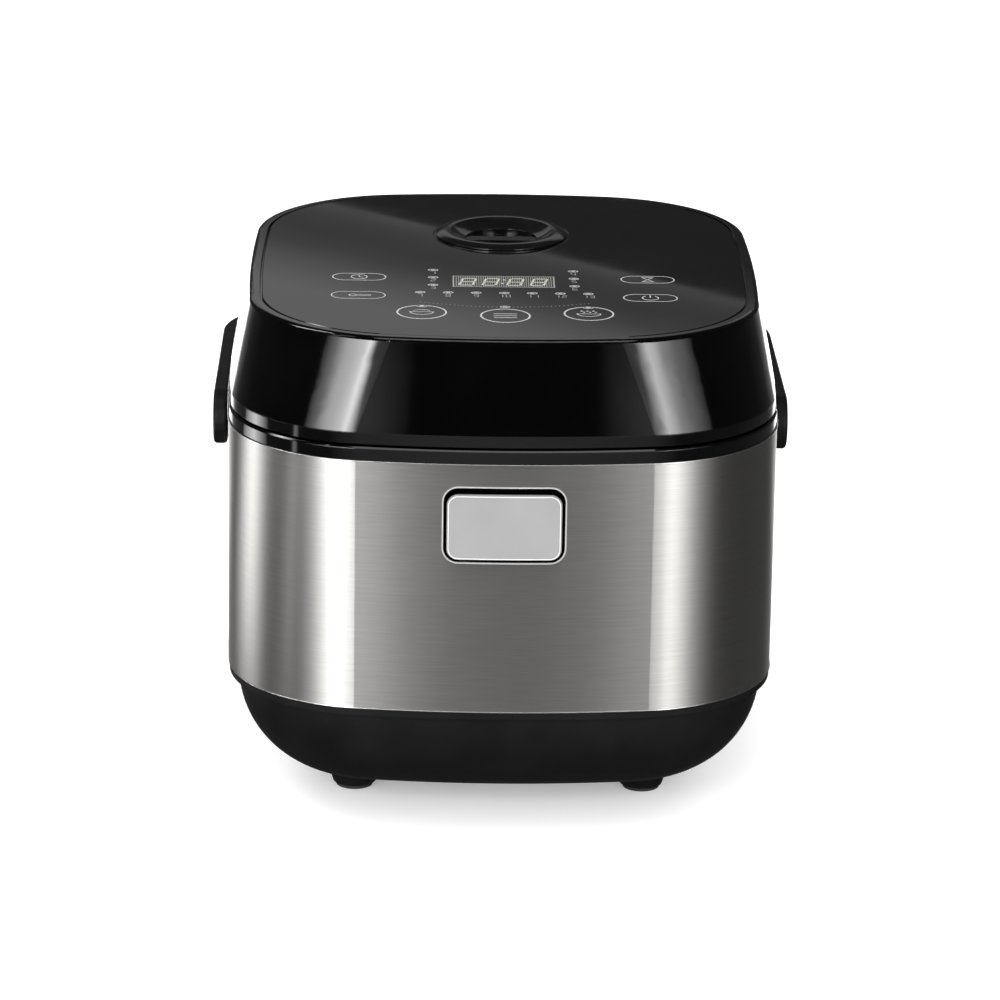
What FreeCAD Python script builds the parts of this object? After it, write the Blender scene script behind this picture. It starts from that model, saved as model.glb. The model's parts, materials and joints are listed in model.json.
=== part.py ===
import FreeCAD, Part
import math
import os

# A digital rice cooker in millimetres: the pot's axis is Z, the front faces -Y, and the feet stand on z = 0.

# Plan of the body: bowed front and back, bowed sides, round corners
body_w = 270.0
body_d = 301.0
corner_r = 73.0
front_bow_r = 488.0
side_bow_r = 1500.0

# Heights of the bands that show, from the floor up
foot_h = 10.5
base_h = 53.7
jacket_h = 123.9
collar_h = 6.9
lid_gap = 1.2
frame_h = 5.6
cover_h = 44.5

# Clearances
fit = 0.3
running = 0.05
joint_gap = 1.0

# Base bowl, feet and pads
base_wall = 2.5
lip_h = 4.0
lip_inset = 0.3
lip_step = 4.5
spigot_h = 7.8
foot_ledge = 6.8
foot_bearing = 47.7
foot_r = 10.5
foot_root_r = 21.0
foot_root_h = 17.0
foot_lean = 7.0
pad_r = 9.0
pad_h = 2.0
post_r = 5.5
slot_count = 13
slot_pitch = 9.0
slot_w = 3.0
slot_len = 16.0

# Steel jacket and collar
jacket_t = 0.6
collar_inset = 0.4
collar_bevel = 0.8
skirt_h = 16.0
neck_h = 8.0
neck_t = 3.0
seat_depth = 2.5
gutter_w = 4.0
gutter_depth = 2.0
gutter_gap = 4.0

# Pot, heat shield and heater
pot_r = 104.0
pot_t = 2.0
pot_corner_r = 18.0
pot_bend = 3.0
pot_flange_w = 5.5
pot_room = 3.0
shell_t = 0.8
shell_rise = 27.0
shell_flange_w = 8.0
shell_ledge_w = 24.3
leg_h = 6.2
plate_t = 14.7
plate_bevel = 3.0
plate_bore_r = 17.5
lug_out = 9.0
lug_w = 14.0
lug_t = 6.0
leg_r = 4.5
element_in = 24.0
element_r = 4.0
element_open_deg = 40.0
terminal_len = 9.0

# Pot sensor under the heating plate
capsule_r = 15.0
capsule_h = 4.0
stem_r = 6.0
bracket_r = 12.0
strap_t = 1.5
bracket_h = 23.0
bracket_flange_r = 24.0
sensor_stop_r = 8.0
sensor_stop_h = 3.2

# Power electronics on the base floor
board_w = 120.0
board_d = 58.0
board_y = 63.0
board_t = 1.6
board_rise = 6.0
board_edge = 6.0
standoff_r = 3.5
block_w = 54.0
block_d = 10.0
block_h = 10.4
block_ways = 5
relay_x = 37.0
relay_w = 20.0
relay_d = 16.0
relay_h = 15.0
transformer_x = -35.0
core_w = 22.0
core_d = 16.0
core_h = 14.0
bobbin_w = 16.0
bobbin_d = 22.0
bobbin_h = 17.0
capacitor_r = 5.0
capacitor_h = 15.0
capacitor_x = 4.0
capacitor_pitch = 13.5
component_set = 16.0
lead_r = 1.6
fuse_r = 3.0
fuse_len = 26.0
fuse_y = -40.0

# Power inlet in the back of the jacket
inlet_rise = 21.8
inlet_w = 27.5
inlet_h = 20.0
inlet_depth = 24.0
inlet_wall = 1.6
inlet_floor = 8.0
inlet_chamfer = 4.0
inlet_flange_w = 50.0
inlet_flange_h = 23.0
inlet_flange_t = 2.2
inlet_screw_x = 20.0
pin_w = 2.0
pin_h = 4.0
pin_spread = 7.0
pin_drop = 2.0
pin_tail = 6.0
pin_short = 3.0

# Front button and its latch
button_drop = 30.5
button_w = 54.6
button_h = 32.4
button_corner_r = 5.5
button_proud = 1.8
button_edge_r = 1.0
button_margin = 1.5
button_travel = 3.0
opening_rise = 0.7
button_flange = 1.4
button_flange_t = 2.0
button_flange_set = 1.3
housing_wall = 2.7
housing_depth = 28.5
button_spring_x = 20.0
button_spring_drop = 7.6
button_spring_r = 4.2
button_spring_t = 1.2
spring_floor = 4.0
lever_set = 13.5
lever_drop = 16.1
lever_w = 10.0
lever_t = 4.0
lever_up = 15.0
lever_down = 26.0
lever_room = 7.0
pusher_drop = 22.5
pusher_h = 5.0
pusher_gap = 0.4
nose_h = 2.5
nose_reach = 2.3
latch_clear = 0.7
latch_pin_r = 2.0
catch_w = 14.0
catch_t = 2.8
catch_tooth = 2.2
catch_flange = 5.0
catch_flange_t = 2.0

# Lid hinge behind the body
hinge_set = 5.0
hinge_rise = 1.8
hinge_pin_r = 2.0
barrel_r = 5.0
barrel_w = 76.0
barrel_end = 4.0
barrel_wall = 1.1
hinge_spring_t = 1.0
ear_r = 4.8
ear_w = 12.0
web_h = 4.0

# Folding handle
handle_drop = 22.1
handle_gap = 1.3
arm_t = 7.0
hub_r = 14.0
grip_room = 6.0
grip_t = 12.5
grip_h = 18.0
bail_corner_r = 55.0
handle_edge_r = 2.0
pivot_r = 4.0
pivot_head_r = 7.0
pivot_head_t = 2.0
washer_r = 9.5
hanger_t = 7.0
hanger_w = 30.0

# Lid cover, frame and panel
cover_inset = 1.2
cover_wall = 2.5
rim_inset = 10.5
rim_rounder = 5.0
rim_w = 5.0
rim_edge_r = 2.5
panel_t = 2.5
deck_t = 2.3
lid_boss_in = 27.0
lid_boss_y = 62.0
lid_boss_r = 4.5
frame_floor = 2.5
frame_spigot_h = 6.0
frame_spigot_t = 2.0

# Lid liner, inner lid plate and seal
liner_room = 11.3
liner_t = 1.5
liner_depth = 8.1
liner_flange_w = 6.3
lid_plate_t = 0.8
lid_plate_over = 3.0
lid_plate_step_r = 70.0
lid_plate_step = 1.2
seal_lip_w = 10.0
seal_lip_t = 0.6
seal_wall = 2.0
grommet_r = 8.0
liner_post_r = 3.0
liner_post_len = 3.9
lid_sensor_x = 40.0
lid_sensor_r = 5.0
steam_hole_r = 1.5
steam_hole_count = 10
steam_ring_r = 5.5

# Control electronics under the panel
control_w = 172.0
control_d = 98.0
control_y = -63.0
control_t = 1.6
control_drop = 3.9
control_edge = 6.0
display_w = 50.3
display_d = 19.0
display_y = -35.5
lamp_r = 1.5
lamp_column_x = 34.5
lamp_column_y = -15.0
lamp_column_pitch = 13.8
lamp_row_y = -56.3
lamp_row_pitch = 13.6
lamp_row_count = 7
key_lamp_y = -81.3
key_spread = 40.0
key_mid_y = -97.0
key_side_y = -92.0
pill_x = 70.5
pill_rear_y = -29.0
pill_front_y = -62.5
touch_spring_r = 4.5
touch_spring_t = 1.2
glow_gap = 0.5

# Steam vent
vent_y = 54.5
well_t = 2.0
well_room = 0.8
well_flange_w = 2.0
well_rise = 4.3
nozzle_r = 6.0
nozzle_t = 2.0
cap_r = 33.0
cap_edge_h = 0.7
cap_crest_r = 26.3
cap_crest_h = 2.7
dish_r = 18.0
dish_depth = 1.5
dish_step = 3.0
cap_floor_t = 1.5
cap_tube_r = 23.2
cap_tube_t = 1.7
cap_tube_len = 12.0
cap_slot_r = 11.0
cup_t = 1.7
cup_clear = 7.3
cup_sink = 6.0
cup_seal_rise = 6.0
cup_seal_h = 3.0
cup_seal_t = 1.25

# Screws
screw_r = 1.5
screw_head_r = 3.0
screw_head_h = 2.5
long_screw_r = 1.9
long_head_r = 3.8
collar_screw_set = 3.9
screw_grip = 4.5

# Heights worked out from the bands
base_z = foot_h
jacket_z = base_z + base_h
collar_z = jacket_z + jacket_h
collar_top = collar_z + collar_h
frame_z = collar_top + lid_gap
cover_z = frame_z + frame_h
lid_top = cover_z + cover_h
lip_z = jacket_z - lip_h
base_floor = base_z + base_wall
seat_z = collar_top - seat_depth
shell_z = base_floor + shell_rise
plate_z = shell_z + shell_t + leg_h
plate_top = plate_z + plate_t
pot_z = plate_top + fit
board_z = base_floor + board_rise
board_top = board_z + board_t
deck_z = lid_top - panel_t
deck_under = deck_z - deck_t
control_z = deck_under - control_drop - control_t
control_top = control_z + control_t
lid_floor = frame_z + frame_floor
hinge_z = frame_z + hinge_rise
liner_z = lid_floor - liner_depth
inlet_z = jacket_z + inlet_rise
button_z = collar_z - button_drop
button_spring_z = button_z - button_spring_drop
lever_z = collar_z - lever_drop
handle_z = collar_z - handle_drop
well_floor_z = lid_floor + well_rise
cup_z = well_floor_z + well_t + cup_clear

# Plan sizes worked out from the pieces that fit together
front_y = -body_d / 2
side_x = body_w / 2
spigot_out = jacket_t + fit
spigot_in = spigot_out + base_wall
bowl_inset = lip_inset + lip_step
bowl_r = lip_z - base_z
collar_bore_r = pot_r + pot_t + pot_room
pot_flange_r = pot_r + pot_t + pot_bend + pot_flange_w
flange_seat_r = pot_flange_r + 2 * fit
shell_r = collar_bore_r + neck_t + fit
shell_ledge_r = shell_r - shell_ledge_w
plate_flat_r = pot_r - pot_corner_r
lug_at_r = plate_flat_r + lug_out
element_at_r = plate_flat_r - element_in
collar_screw_at_r = shell_r + shell_t + collar_screw_set
liner_r = pot_r - liner_room
lever_y = front_y + lever_set
housing_y = front_y + housing_depth
hinge_y = body_d / 2 + hinge_set
grip_y = hinge_y + barrel_r + grip_room
rim_corner_r = corner_r + rim_rounder
lid_boss_x = side_x - lid_boss_in
well_r = cap_tube_r + fit + cup_t + well_room
seal_outer_r = well_r - fit
arm_x = side_x + handle_gap
panel_inset = rim_inset + rim_w + joint_gap
opening_w = button_w + 2 * button_margin
opening_h = button_h + 2 * button_margin + 2 * opening_rise
opening_z = button_z + opening_rise
flange_front = front_y + jacket_t + button_flange_set
flange_back = flange_front + button_flange_t
catch_y = lever_y + lever_t / 2 + nose_reach + latch_clear
catch_low = lever_z + lever_up - nose_h - fit - catch_tooth
hanger_x = side_x - spigot_in - fit
lid_plate_z = liner_z - fit - lid_plate_t
lid_plate_r = liner_r + lid_plate_over
foot_at_r = shell_r - foot_ledge
foot_spots = [(sx * foot_at_r * math.cos(math.radians(foot_bearing)),
               sy * foot_at_r * math.sin(math.radians(foot_bearing))) for sx in (-1, 1) for sy in (-1, 1)]
board_spots = [(sx * (board_w / 2 - board_edge), board_y + sy * (board_d / 2 - board_edge))
               for sx in (-1, 1) for sy in (-1, 1)]
lid_boss_spots = [(sx * lid_boss_x, sy * lid_boss_y) for sx in (-1, 1) for sy in (-1, 1)]
control_spots = [(sx * (control_w / 2 - control_edge), control_y + sy * (control_d / 2 - control_edge))
                 for sx in (-1, 1) for sy in (-1, 1)]
touch_spots = [(0, key_mid_y), (-key_spread, key_side_y), (key_spread, key_side_y)]
touch_spots += [(sx * pill_x, y) for sx in (-1, 1) for y in (pill_rear_y, pill_front_y)]
lamp_spots = [(sx * lamp_column_x, lamp_column_y - k * lamp_column_pitch) for sx in (-1, 1) for k in range(3)]
lamp_spots += [((k - (lamp_row_count - 1) / 2) * lamp_row_pitch, lamp_row_y) for k in range(lamp_row_count)]
lamp_spots += [(k * key_spread, key_lamp_y) for k in (-1, 0, 1)]

UP = FreeCAD.Vector(0, 0, 1)


def at(x, y, z):
    return FreeCAD.Vector(x, y, z)


def polar(radius, degrees):
    angle = math.radians(degrees)
    return radius * math.cos(angle), radius * math.sin(angle)


def slab(x0, x1, y0, y1, z0, z1):
    return Part.makeBox(x1 - x0, y1 - y0, z1 - z0, at(x0, y0, z0))


def edges_along(shape, axis):
    """The straight edges that run along one axis."""
    found = []
    for edge in shape.Edges:
        ends = edge.Vertexes
        if len(ends) == 2 and edge.Curve.TypeId == "Part::GeomLine":
            run = ends[1].Point.sub(ends[0].Point)
            if run.normalize().cross(axis).Length < 1e-6:
                found.append(edge)
    return found


def soft_slab(x0, x1, y0, y1, z0, z1, radius, axis):
    """A box whose four edges along one axis are rounded."""
    box = slab(x0, x1, y0, y1, z0, z1)
    return box.makeFillet(radius, edges_along(box, axis))


def disc(radius, z0, z1, x=0.0, y=0.0):
    return Part.makeCylinder(radius, z1 - z0, at(x, y, z0))


def tube(inner_r, outer_r, z0, z1, x=0.0, y=0.0):
    return disc(outer_r, z0, z1, x, y).cut(disc(inner_r, z0, z1, x, y))


def rod_x(radius, x0, x1, y, z):
    return Part.makeCylinder(radius, x1 - x0, at(x0, y, z), at(1, 0, 0))


def rod_y(radius, y0, y1, x, z):
    return Part.makeCylinder(radius, y1 - y0, at(x, y0, z), at(0, 1, 0))


def profile(start, *steps):
    """A face in the XZ plane. A step is a point for a line, or a pair of points for an arc through and to."""
    edges = []
    here = at(start[0], 0, start[1])
    for step in steps:
        if isinstance(step[0], tuple):
            through, to = [at(x, 0, z) for x, z in step]
            edges.append(Part.Arc(here, through, to).toShape())
        else:
            to = at(step[0], 0, step[1])
            edges.append(Part.makeLine(here, to))
        here = to
    edges.append(Part.makeLine(here, at(start[0], 0, start[1])))
    return Part.Face(Part.Wire(edges))


def arc_steps(centre, radius, from_deg, to_deg):
    """The through point and the end point of an arc about a centre in a profile."""
    middle = polar(radius, (from_deg + to_deg) / 2)
    end = polar(radius, to_deg)
    return (centre[0] + middle[0], centre[1] + middle[1]), (centre[0] + end[0], centre[1] + end[1])


def turned(face, x=0.0, y=0.0):
    """A profile turned once round the vertical line at x, y."""
    body = face.revolve(at(0, 0, 0), UP, 360)
    body.translate(at(x, y, 0))
    return body


def outline_arcs(inset, corner=None):
    """The eight tangent arcs of the plan, drawn in by inset: centre, radius, first angle and turn."""
    half_w = side_x - inset
    half_d = body_d / 2 - inset
    front_r = front_bow_r - inset
    side_r = side_bow_r - inset
    r = corner if corner else corner_r - inset
    front_c = at(0, front_r - half_d, 0)
    side_c = at(half_w - side_r, 0, 0)
    span = side_c.sub(front_c)
    along = (span.Length ** 2 + (front_r - r) ** 2 - (side_r - r) ** 2) / (2 * span.Length)
    across = math.sqrt((front_r - r) ** 2 - along ** 2)
    unit = at(span.x, span.y, 0).normalize()
    corner_c = front_c + unit * along + at(-unit.y, unit.x, 0) * across
    bow = math.degrees(math.atan2(corner_c.x, front_c.y - corner_c.y))
    flank = math.degrees(math.atan2(-corner_c.y, corner_c.x - side_c.x))
    turn = 90 - bow - flank
    right = corner_c.x
    front = corner_c.y
    return [(front_c, front_r, -90 - bow, 2 * bow),
            (at(right, front, 0), r, -90 + bow, turn),
            (side_c, side_r, -flank, 2 * flank),
            (at(right, -front, 0), r, flank, turn),
            (-front_c, front_r, 90 - bow, 2 * bow),
            (at(-right, -front, 0), r, 90 + bow, turn),
            (-side_c, side_r, 180 - flank, 2 * flank),
            (at(-right, front, 0), r, 180 + flank, turn)]


def outline(inset, z, corner=None):
    edges = []
    for centre, radius, first, turn in outline_arcs(inset, corner):
        circle = Part.Circle(at(centre.x, centre.y, z), UP, radius)
        edges.append(Part.ArcOfCircle(circle, math.radians(first), math.radians(first + turn)).toShape())
    return Part.Wire(edges)


def plan_block(inset, z0, z1, corner=None):
    return Part.Face(outline(inset, z0, corner)).extrude(at(0, 0, z1 - z0))


def carried_round(section):
    """A profile of inset (as -x) and height, carried round the whole outline."""
    pieces = []
    for centre, radius, first, turn in outline_arcs(0):
        start = section.copy()
        start.translate(at(radius, 0, 0))
        start.rotate(at(0, 0, 0), UP, first)
        start.translate(centre)
        pieces.append(start.revolve(centre, UP, turn))
    return pieces[0].fuse(pieces[1:]).removeSplitter()


def band(inset0, inset1, z0, z1):
    return carried_round(profile((-inset0, z0), (-inset1, z0), (-inset1, z1), (-inset0, z1)))


def screw(radius, head_r, head_h, length):
    """A bevelled screw that points up, with its head's seat at the origin and a slot across the head."""
    bevel = head_h / 3
    body = turned(profile((0, -head_h), (head_r - bevel, -head_h), (head_r, bevel - head_h), (head_r, 0),
                          (radius, 0), (radius, length), (0, length)))
    return body.cut(slab(-head_r, head_r, -bevel / 2, bevel / 2, -head_h, bevel - head_h))


def copies(shape, spots, z=0.0):
    placed = []
    for x, y in spots:
        copy = shape.copy()
        copy.translate(at(x, y, z))
        placed.append(copy)
    return Part.makeCompound(placed)


def holes(radius, spots, z0, z1):
    return [disc(radius, z0, z1, x, y) for x, y in spots]


def mirrored(shape):
    return shape.mirror(at(0, 0, 0), at(1, 0, 0))


def both_sides(shape):
    return Part.makeCompound([shape, mirrored(shape)])


# Base, feet and jacket

def bowl_solid():
    """The outside of the bowl as one filled solid, for what sits against it."""
    centre = (-bowl_inset - bowl_r, lip_z)
    wall = profile((-bowl_inset, lip_z), arc_steps(centre, bowl_r, 0, -90), (centre[0], lip_z))
    core = plan_block(bowl_inset + bowl_r, base_z, lip_z)
    return carried_round(wall).fuse(core)


def base_shell():
    centre = (-bowl_inset - bowl_r, lip_z)
    inner_r = bowl_r - base_wall
    wall = profile((-lip_inset, jacket_z), (-lip_inset, lip_z), (-bowl_inset, lip_z),
                   arc_steps(centre, bowl_r, 0, -90), (centre[0], base_floor),
                   arc_steps(centre, inner_r, -90, 0),
                   (-bowl_inset - base_wall, lip_z + base_wall), (-spigot_in, lip_z + base_wall),
                   (-spigot_in, jacket_z + spigot_h), (-spigot_out, jacket_z + spigot_h),
                   (-spigot_out, jacket_z))
    floor = plan_block(bowl_inset + bowl_r, base_z, base_floor)
    posts = holes(post_r, foot_spots, base_z + base_wall / 2, shell_z)
    standoffs = holes(standoff_r, board_spots, base_z + base_wall / 2, board_z)
    shell = carried_round(wall).fuse([floor] + posts + standoffs)
    cuts = holes(long_screw_r + fit, foot_spots, base_z - 1, shell_z + 1)
    cuts += holes(screw_r, board_spots, board_z - screw_grip, board_z + 1)
    edge_y = body_d / 2 - bowl_inset - bowl_r
    for k in range(slot_count):
        x = (k - (slot_count - 1) / 2) * slot_pitch
        for y in (-edge_y, edge_y):
            cuts.append(slab(x - slot_w / 2, x + slot_w / 2, y - slot_len / 2, y + slot_len / 2,
                             base_z - 1, base_floor + base_wall))
    return shell.cut(cuts).removeSplitter()


def feet():
    bowl = bowl_solid()
    made = []
    for x, y in foot_spots:
        lean = at(-x, -y, 0).normalize() * foot_lean
        sole = Part.Wire(Part.makeCircle(foot_r, at(x, y, pad_h)))
        root = Part.Wire(Part.makeCircle(foot_root_r, at(x, y, foot_root_h) + lean))
        foot = Part.makeLoft([sole, root], True, True).cut(bowl)
        foot = foot.cut(disc(long_screw_r + fit, 0, foot_root_h, x, y))
        made.append(foot.cut(disc(long_head_r + fit, 0, pad_h + screw_head_h + fit, x, y)))
    return Part.makeCompound(made)


def foot_pads():
    return Part.makeCompound(holes(pad_r, foot_spots, 0, pad_h))


def base_screws():
    seat = pad_h + screw_head_h + fit
    long_screw = screw(long_screw_r, long_head_r, screw_head_h, shell_z + screw_grip - seat)
    return copies(long_screw, foot_spots, seat)


def button_opening(grow, y0, y1):
    return soft_slab(-opening_w / 2 - grow, opening_w / 2 + grow, y0, y1, opening_z - opening_h / 2 - grow,
                     opening_z + opening_h / 2 + grow, button_corner_r + button_margin + grow, at(0, 1, 0))


def outer_jacket():
    sleeve = band(0, jacket_t, jacket_z, collar_z)
    cuts = [button_opening(0, 2 * front_y, 0)]
    cuts.append(slab(-inlet_w / 2 - fit, inlet_w / 2 + fit, 0, body_d, inlet_z - inlet_h / 2 - fit,
                     inlet_z + inlet_h / 2 + fit))
    cuts += [rod_y(screw_r + fit, 0, body_d, sx * inlet_screw_x, inlet_z) for sx in (-1, 1)]
    cuts.append(rod_x(pivot_r + fit, -body_w, body_w, 0, handle_z))
    return sleeve.cut(cuts)


# Collar, pot and heater

def hinge_ear():
    """One of the collar's two ears: a round eye on a wedge that grows out of the back of the collar."""
    x0 = barrel_w / 2 + joint_gap
    root_y = body_d / 2 - spigot_in - base_wall
    wedge = Part.makePolygon([at(x0, root_y, collar_z + fit), at(x0, hinge_y - ear_r, collar_z + fit),
                              at(x0, hinge_y + ear_r, hinge_z), at(x0, hinge_y - ear_r, hinge_z),
                              at(x0, hinge_y - ear_r, collar_top), at(x0, root_y, collar_top),
                              at(x0, root_y, collar_z + fit)])
    ear = Part.Face(wedge).extrude(at(ear_w, 0, 0))
    return ear.fuse(rod_x(ear_r, x0, x0 + ear_w, hinge_y, hinge_z))


def upper_collar():
    deck = plan_block(collar_inset, collar_z, collar_top)
    rim = [edge for edge in deck.Edges if edge.BoundBox.ZMin > collar_top - 1e-6]
    deck = deck.makeChamfer(collar_bevel, rim)
    gutter_r = flange_seat_r + gutter_gap
    deck = deck.cut([tube(gutter_r, gutter_r + gutter_w, collar_top - gutter_depth, collar_top),
                     disc(flange_seat_r, seat_z, collar_top)])
    skirt = band(spigot_out, spigot_in, collar_z - skirt_h, collar_z)
    neck = disc(collar_bore_r + neck_t, collar_z - neck_h, collar_z)
    ear = hinge_ear()
    collar = deck.fuse([skirt, neck, ear, mirrored(ear)]).cut(disc(collar_bore_r, 0, lid_top))
    housing_w = opening_w + 2 * button_flange + 2 * fit + 2 * housing_wall
    cuts = [slab(-housing_w / 2 - fit, housing_w / 2 + fit, 2 * front_y, 0, 0, collar_z).cut(
            disc(collar_bore_r + neck_t, 0, collar_z)),
            slab(-catch_w / 2 - joint_gap, catch_w / 2 + joint_gap, catch_y - 2 * joint_gap,
                 catch_y + catch_tooth + catch_t + joint_gap, collar_z, collar_top),
            rod_x(hinge_pin_r + running, -body_w, body_w, hinge_y, hinge_z)]
    cuts += holes(screw_r, collar_screw_spots(), collar_z, collar_z + screw_grip)
    return collar.cut(cuts).removeSplitter()


def collar_screw_spots():
    return [polar(collar_screw_at_r, 45 + 90 * k) for k in range(4)]


def collar_screws():
    small = screw(screw_r, screw_head_r, screw_head_h, shell_t + screw_grip)
    return copies(small, collar_screw_spots(), collar_z - shell_t)


def lug_spots(radius):
    return [polar(radius, 30 + 120 * k) for k in range(3)]


def inner_shell():
    outer_r = shell_r + shell_t
    can = turned(profile((shell_ledge_r, shell_z), (outer_r, shell_z), (outer_r, collar_z - shell_t),
                         (outer_r + shell_flange_w, collar_z - shell_t), (outer_r + shell_flange_w, collar_z),
                         (shell_r, collar_z), (shell_r, shell_z + shell_t),
                         (shell_ledge_r, shell_z + shell_t)))
    cuts = holes(long_screw_r, foot_spots, 0, shell_z + shell_t)
    cuts += holes(screw_r, collar_screw_spots(), shell_z + shell_t, lid_top)
    cuts += holes(screw_r, lug_spots(lug_at_r), 0, shell_z + shell_t)
    return can.cut(cuts)


def inner_pot():
    outer_r = pot_r + pot_t
    low = (pot_r - pot_corner_r, pot_z + pot_t + pot_corner_r)
    bend_r = outer_r + pot_bend
    top = seat_z + pot_t
    return turned(profile((0, pot_z), (low[0], pot_z),
                          arc_steps(low, pot_corner_r + pot_t, -90, 0), (outer_r, seat_z - pot_bend),
                          (bend_r, seat_z), (pot_flange_r, seat_z), (pot_flange_r, top - pot_t / 3),
                          (pot_flange_r - pot_t / 3, top), (bend_r - pot_t / 3, top),
                          (pot_r, seat_z - pot_bend + pot_t / 3), (pot_r, low[1]),
                          arc_steps(low, pot_corner_r, 0, -90), (0, pot_z + pot_t)))


def heating_plate():
    edge_r = plate_flat_r + plate_bevel
    plate = turned(profile((plate_bore_r, plate_z), (edge_r, plate_z), (edge_r, plate_top - plate_bevel),
                           (plate_flat_r, plate_top), (plate_bore_r, plate_top)))
    groove = tube(element_at_r - element_r - fit, element_at_r + element_r + fit, plate_z,
                  plate_z + element_r / 2 + fit)
    lugs = []
    for k in range(3):
        arm = slab(plate_flat_r - lug_w / 2, lug_at_r, -lug_w / 2, lug_w / 2, plate_z, plate_z + lug_t)
        arm = arm.fuse([disc(lug_w / 2, plate_z, plate_z + lug_t, lug_at_r),
                        disc(leg_r, shell_z + shell_t, plate_z, lug_at_r)])
        arm = arm.cut(disc(screw_r, 0, plate_z + lug_t / 2, lug_at_r))
        arm.rotate(at(0, 0, 0), UP, 30 + 120 * k)
        lugs.append(arm)
    return plate.fuse(lugs).cut(groove).removeSplitter()


def plate_screws():
    return copies(screw(screw_r, screw_head_r, screw_head_h, plate_z - shell_z), lug_spots(lug_at_r), shell_z)


def element_ends():
    return [polar(element_at_r, 90 + sign * element_open_deg / 2) for sign in (1, -1)]


def heating_element():
    """A tube bent to an open ring in the plate's groove, with its two ends turned down."""
    z = plate_z - element_r / 2
    section = Part.Face(Part.Wire(Part.makeCircle(element_r, at(element_at_r, 0, z), at(0, 1, 0))))
    section.rotate(at(0, 0, 0), UP, 90 + element_open_deg / 2)
    ring = section.revolve(at(0, 0, 0), UP, 360 - element_open_deg)
    for x, y in element_ends():
        elbow = Part.makeSphere(element_r, at(x, y, z))
        ring = ring.fuse([elbow, disc(element_r, z - terminal_len, z, x, y)])
    return ring


def heater_leads():
    top = plate_z - element_r / 2 - terminal_len
    return Part.makeCompound(holes(lead_r, element_ends(), board_top + block_h, top))


def thermal_fuse():
    z = plate_z - fuse_r - strap_t / 2
    strap = slab(-fuse_r, fuse_r, fuse_y - 3 * fuse_r, fuse_y + 3 * fuse_r, plate_z - strap_t, plate_z)
    return rod_x(fuse_r, -fuse_len / 2, fuse_len / 2, fuse_y, z).fuse(strap)


# Pot sensor

def sensor_bracket():
    z = plate_z - bracket_h
    bore_r = bracket_r - strap_t
    return turned(profile((stem_r + running, z), (bracket_r, z), (bracket_r, plate_z - strap_t),
                          (bracket_flange_r, plate_z - strap_t), (bracket_flange_r, plate_z),
                          (bore_r, plate_z), (bore_r, z + strap_t), (stem_r + running, z + strap_t)))


def sensor_capsule():
    stop_top = plate_z - bracket_h - fit
    cap_z = plate_top - capsule_h
    return turned(profile((0, stop_top - sensor_stop_h), (sensor_stop_r, stop_top - sensor_stop_h),
                          (sensor_stop_r, stop_top), (stem_r, stop_top), (stem_r, cap_z), (capsule_r, cap_z),
                          (capsule_r, plate_top - capsule_h / 2), (capsule_r - capsule_h / 2, plate_top),
                          (0, plate_top)))


def sensor_spring():
    room = bracket_r - strap_t - stem_r
    return tube(stem_r + room / 4, bracket_r - strap_t - room / 4, plate_z - bracket_h + strap_t,
                plate_top - capsule_h)


# Power electronics

def power_board():
    board = soft_slab(-board_w / 2, board_w / 2, board_y - board_d / 2, board_y + board_d / 2, board_z,
                      board_top, board_edge / 2, UP)
    return board.cut(holes(screw_r, board_spots, board_z, board_top))


def board_screws():
    small = screw(screw_r, screw_head_r, screw_head_h, board_t + screw_grip)
    small.rotate(at(0, 0, 0), at(1, 0, 0), 180)
    return copies(small, board_spots, board_top)


def terminal_block():
    """A screw terminal block right under the ends of the heating element."""
    y = element_ends()[0][1]
    block = slab(-block_w / 2, block_w / 2, y - block_d / 2, y + block_d / 2, board_top, board_top + block_h)
    grooves = []
    for k in range(1, block_ways):
        x = (k / block_ways - 0.5) * block_w
        grooves.append(slab(x - fit, x + fit, y - block_d, y + block_d, board_top + block_h / 2,
                            board_top + 2 * block_h))
    return block.cut(grooves)


def on_board(x, w, d, h, edge_r):
    """A component that stands on the board, in the row behind the terminal block."""
    y = board_y + component_set
    return soft_slab(x - w / 2, x + w / 2, y - d / 2, y + d / 2, board_top, board_top + h, edge_r, UP)


def relay():
    return on_board(relay_x, relay_w, relay_d, relay_h, joint_gap)


def transformer():
    """A laminated core round a taller bobbin."""
    core = on_board(transformer_x, core_w, core_d, core_h, fit)
    return core.fuse(on_board(transformer_x, bobbin_w, bobbin_d, bobbin_h, joint_gap))


def capacitors():
    spots = [(capacitor_x + k * capacitor_pitch, board_y + component_set) for k in (-1, 0, 1)]
    return Part.makeCompound(holes(capacitor_r, spots, board_top, board_top + capacitor_h))


# Power inlet

def inlet_pin_boxes():
    y0 = body_d / 2 - inlet_depth - pin_tail
    y1 = body_d / 2 + inlet_flange_t - pin_short
    spots = [(0, pin_drop), (-pin_spread, -pin_drop), (pin_spread, -pin_drop)]
    return [slab(x - pin_w / 2, x + pin_w / 2, y0, y1, inlet_z + z - pin_h / 2, inlet_z + z + pin_h / 2)
            for x, z in spots]


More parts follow.
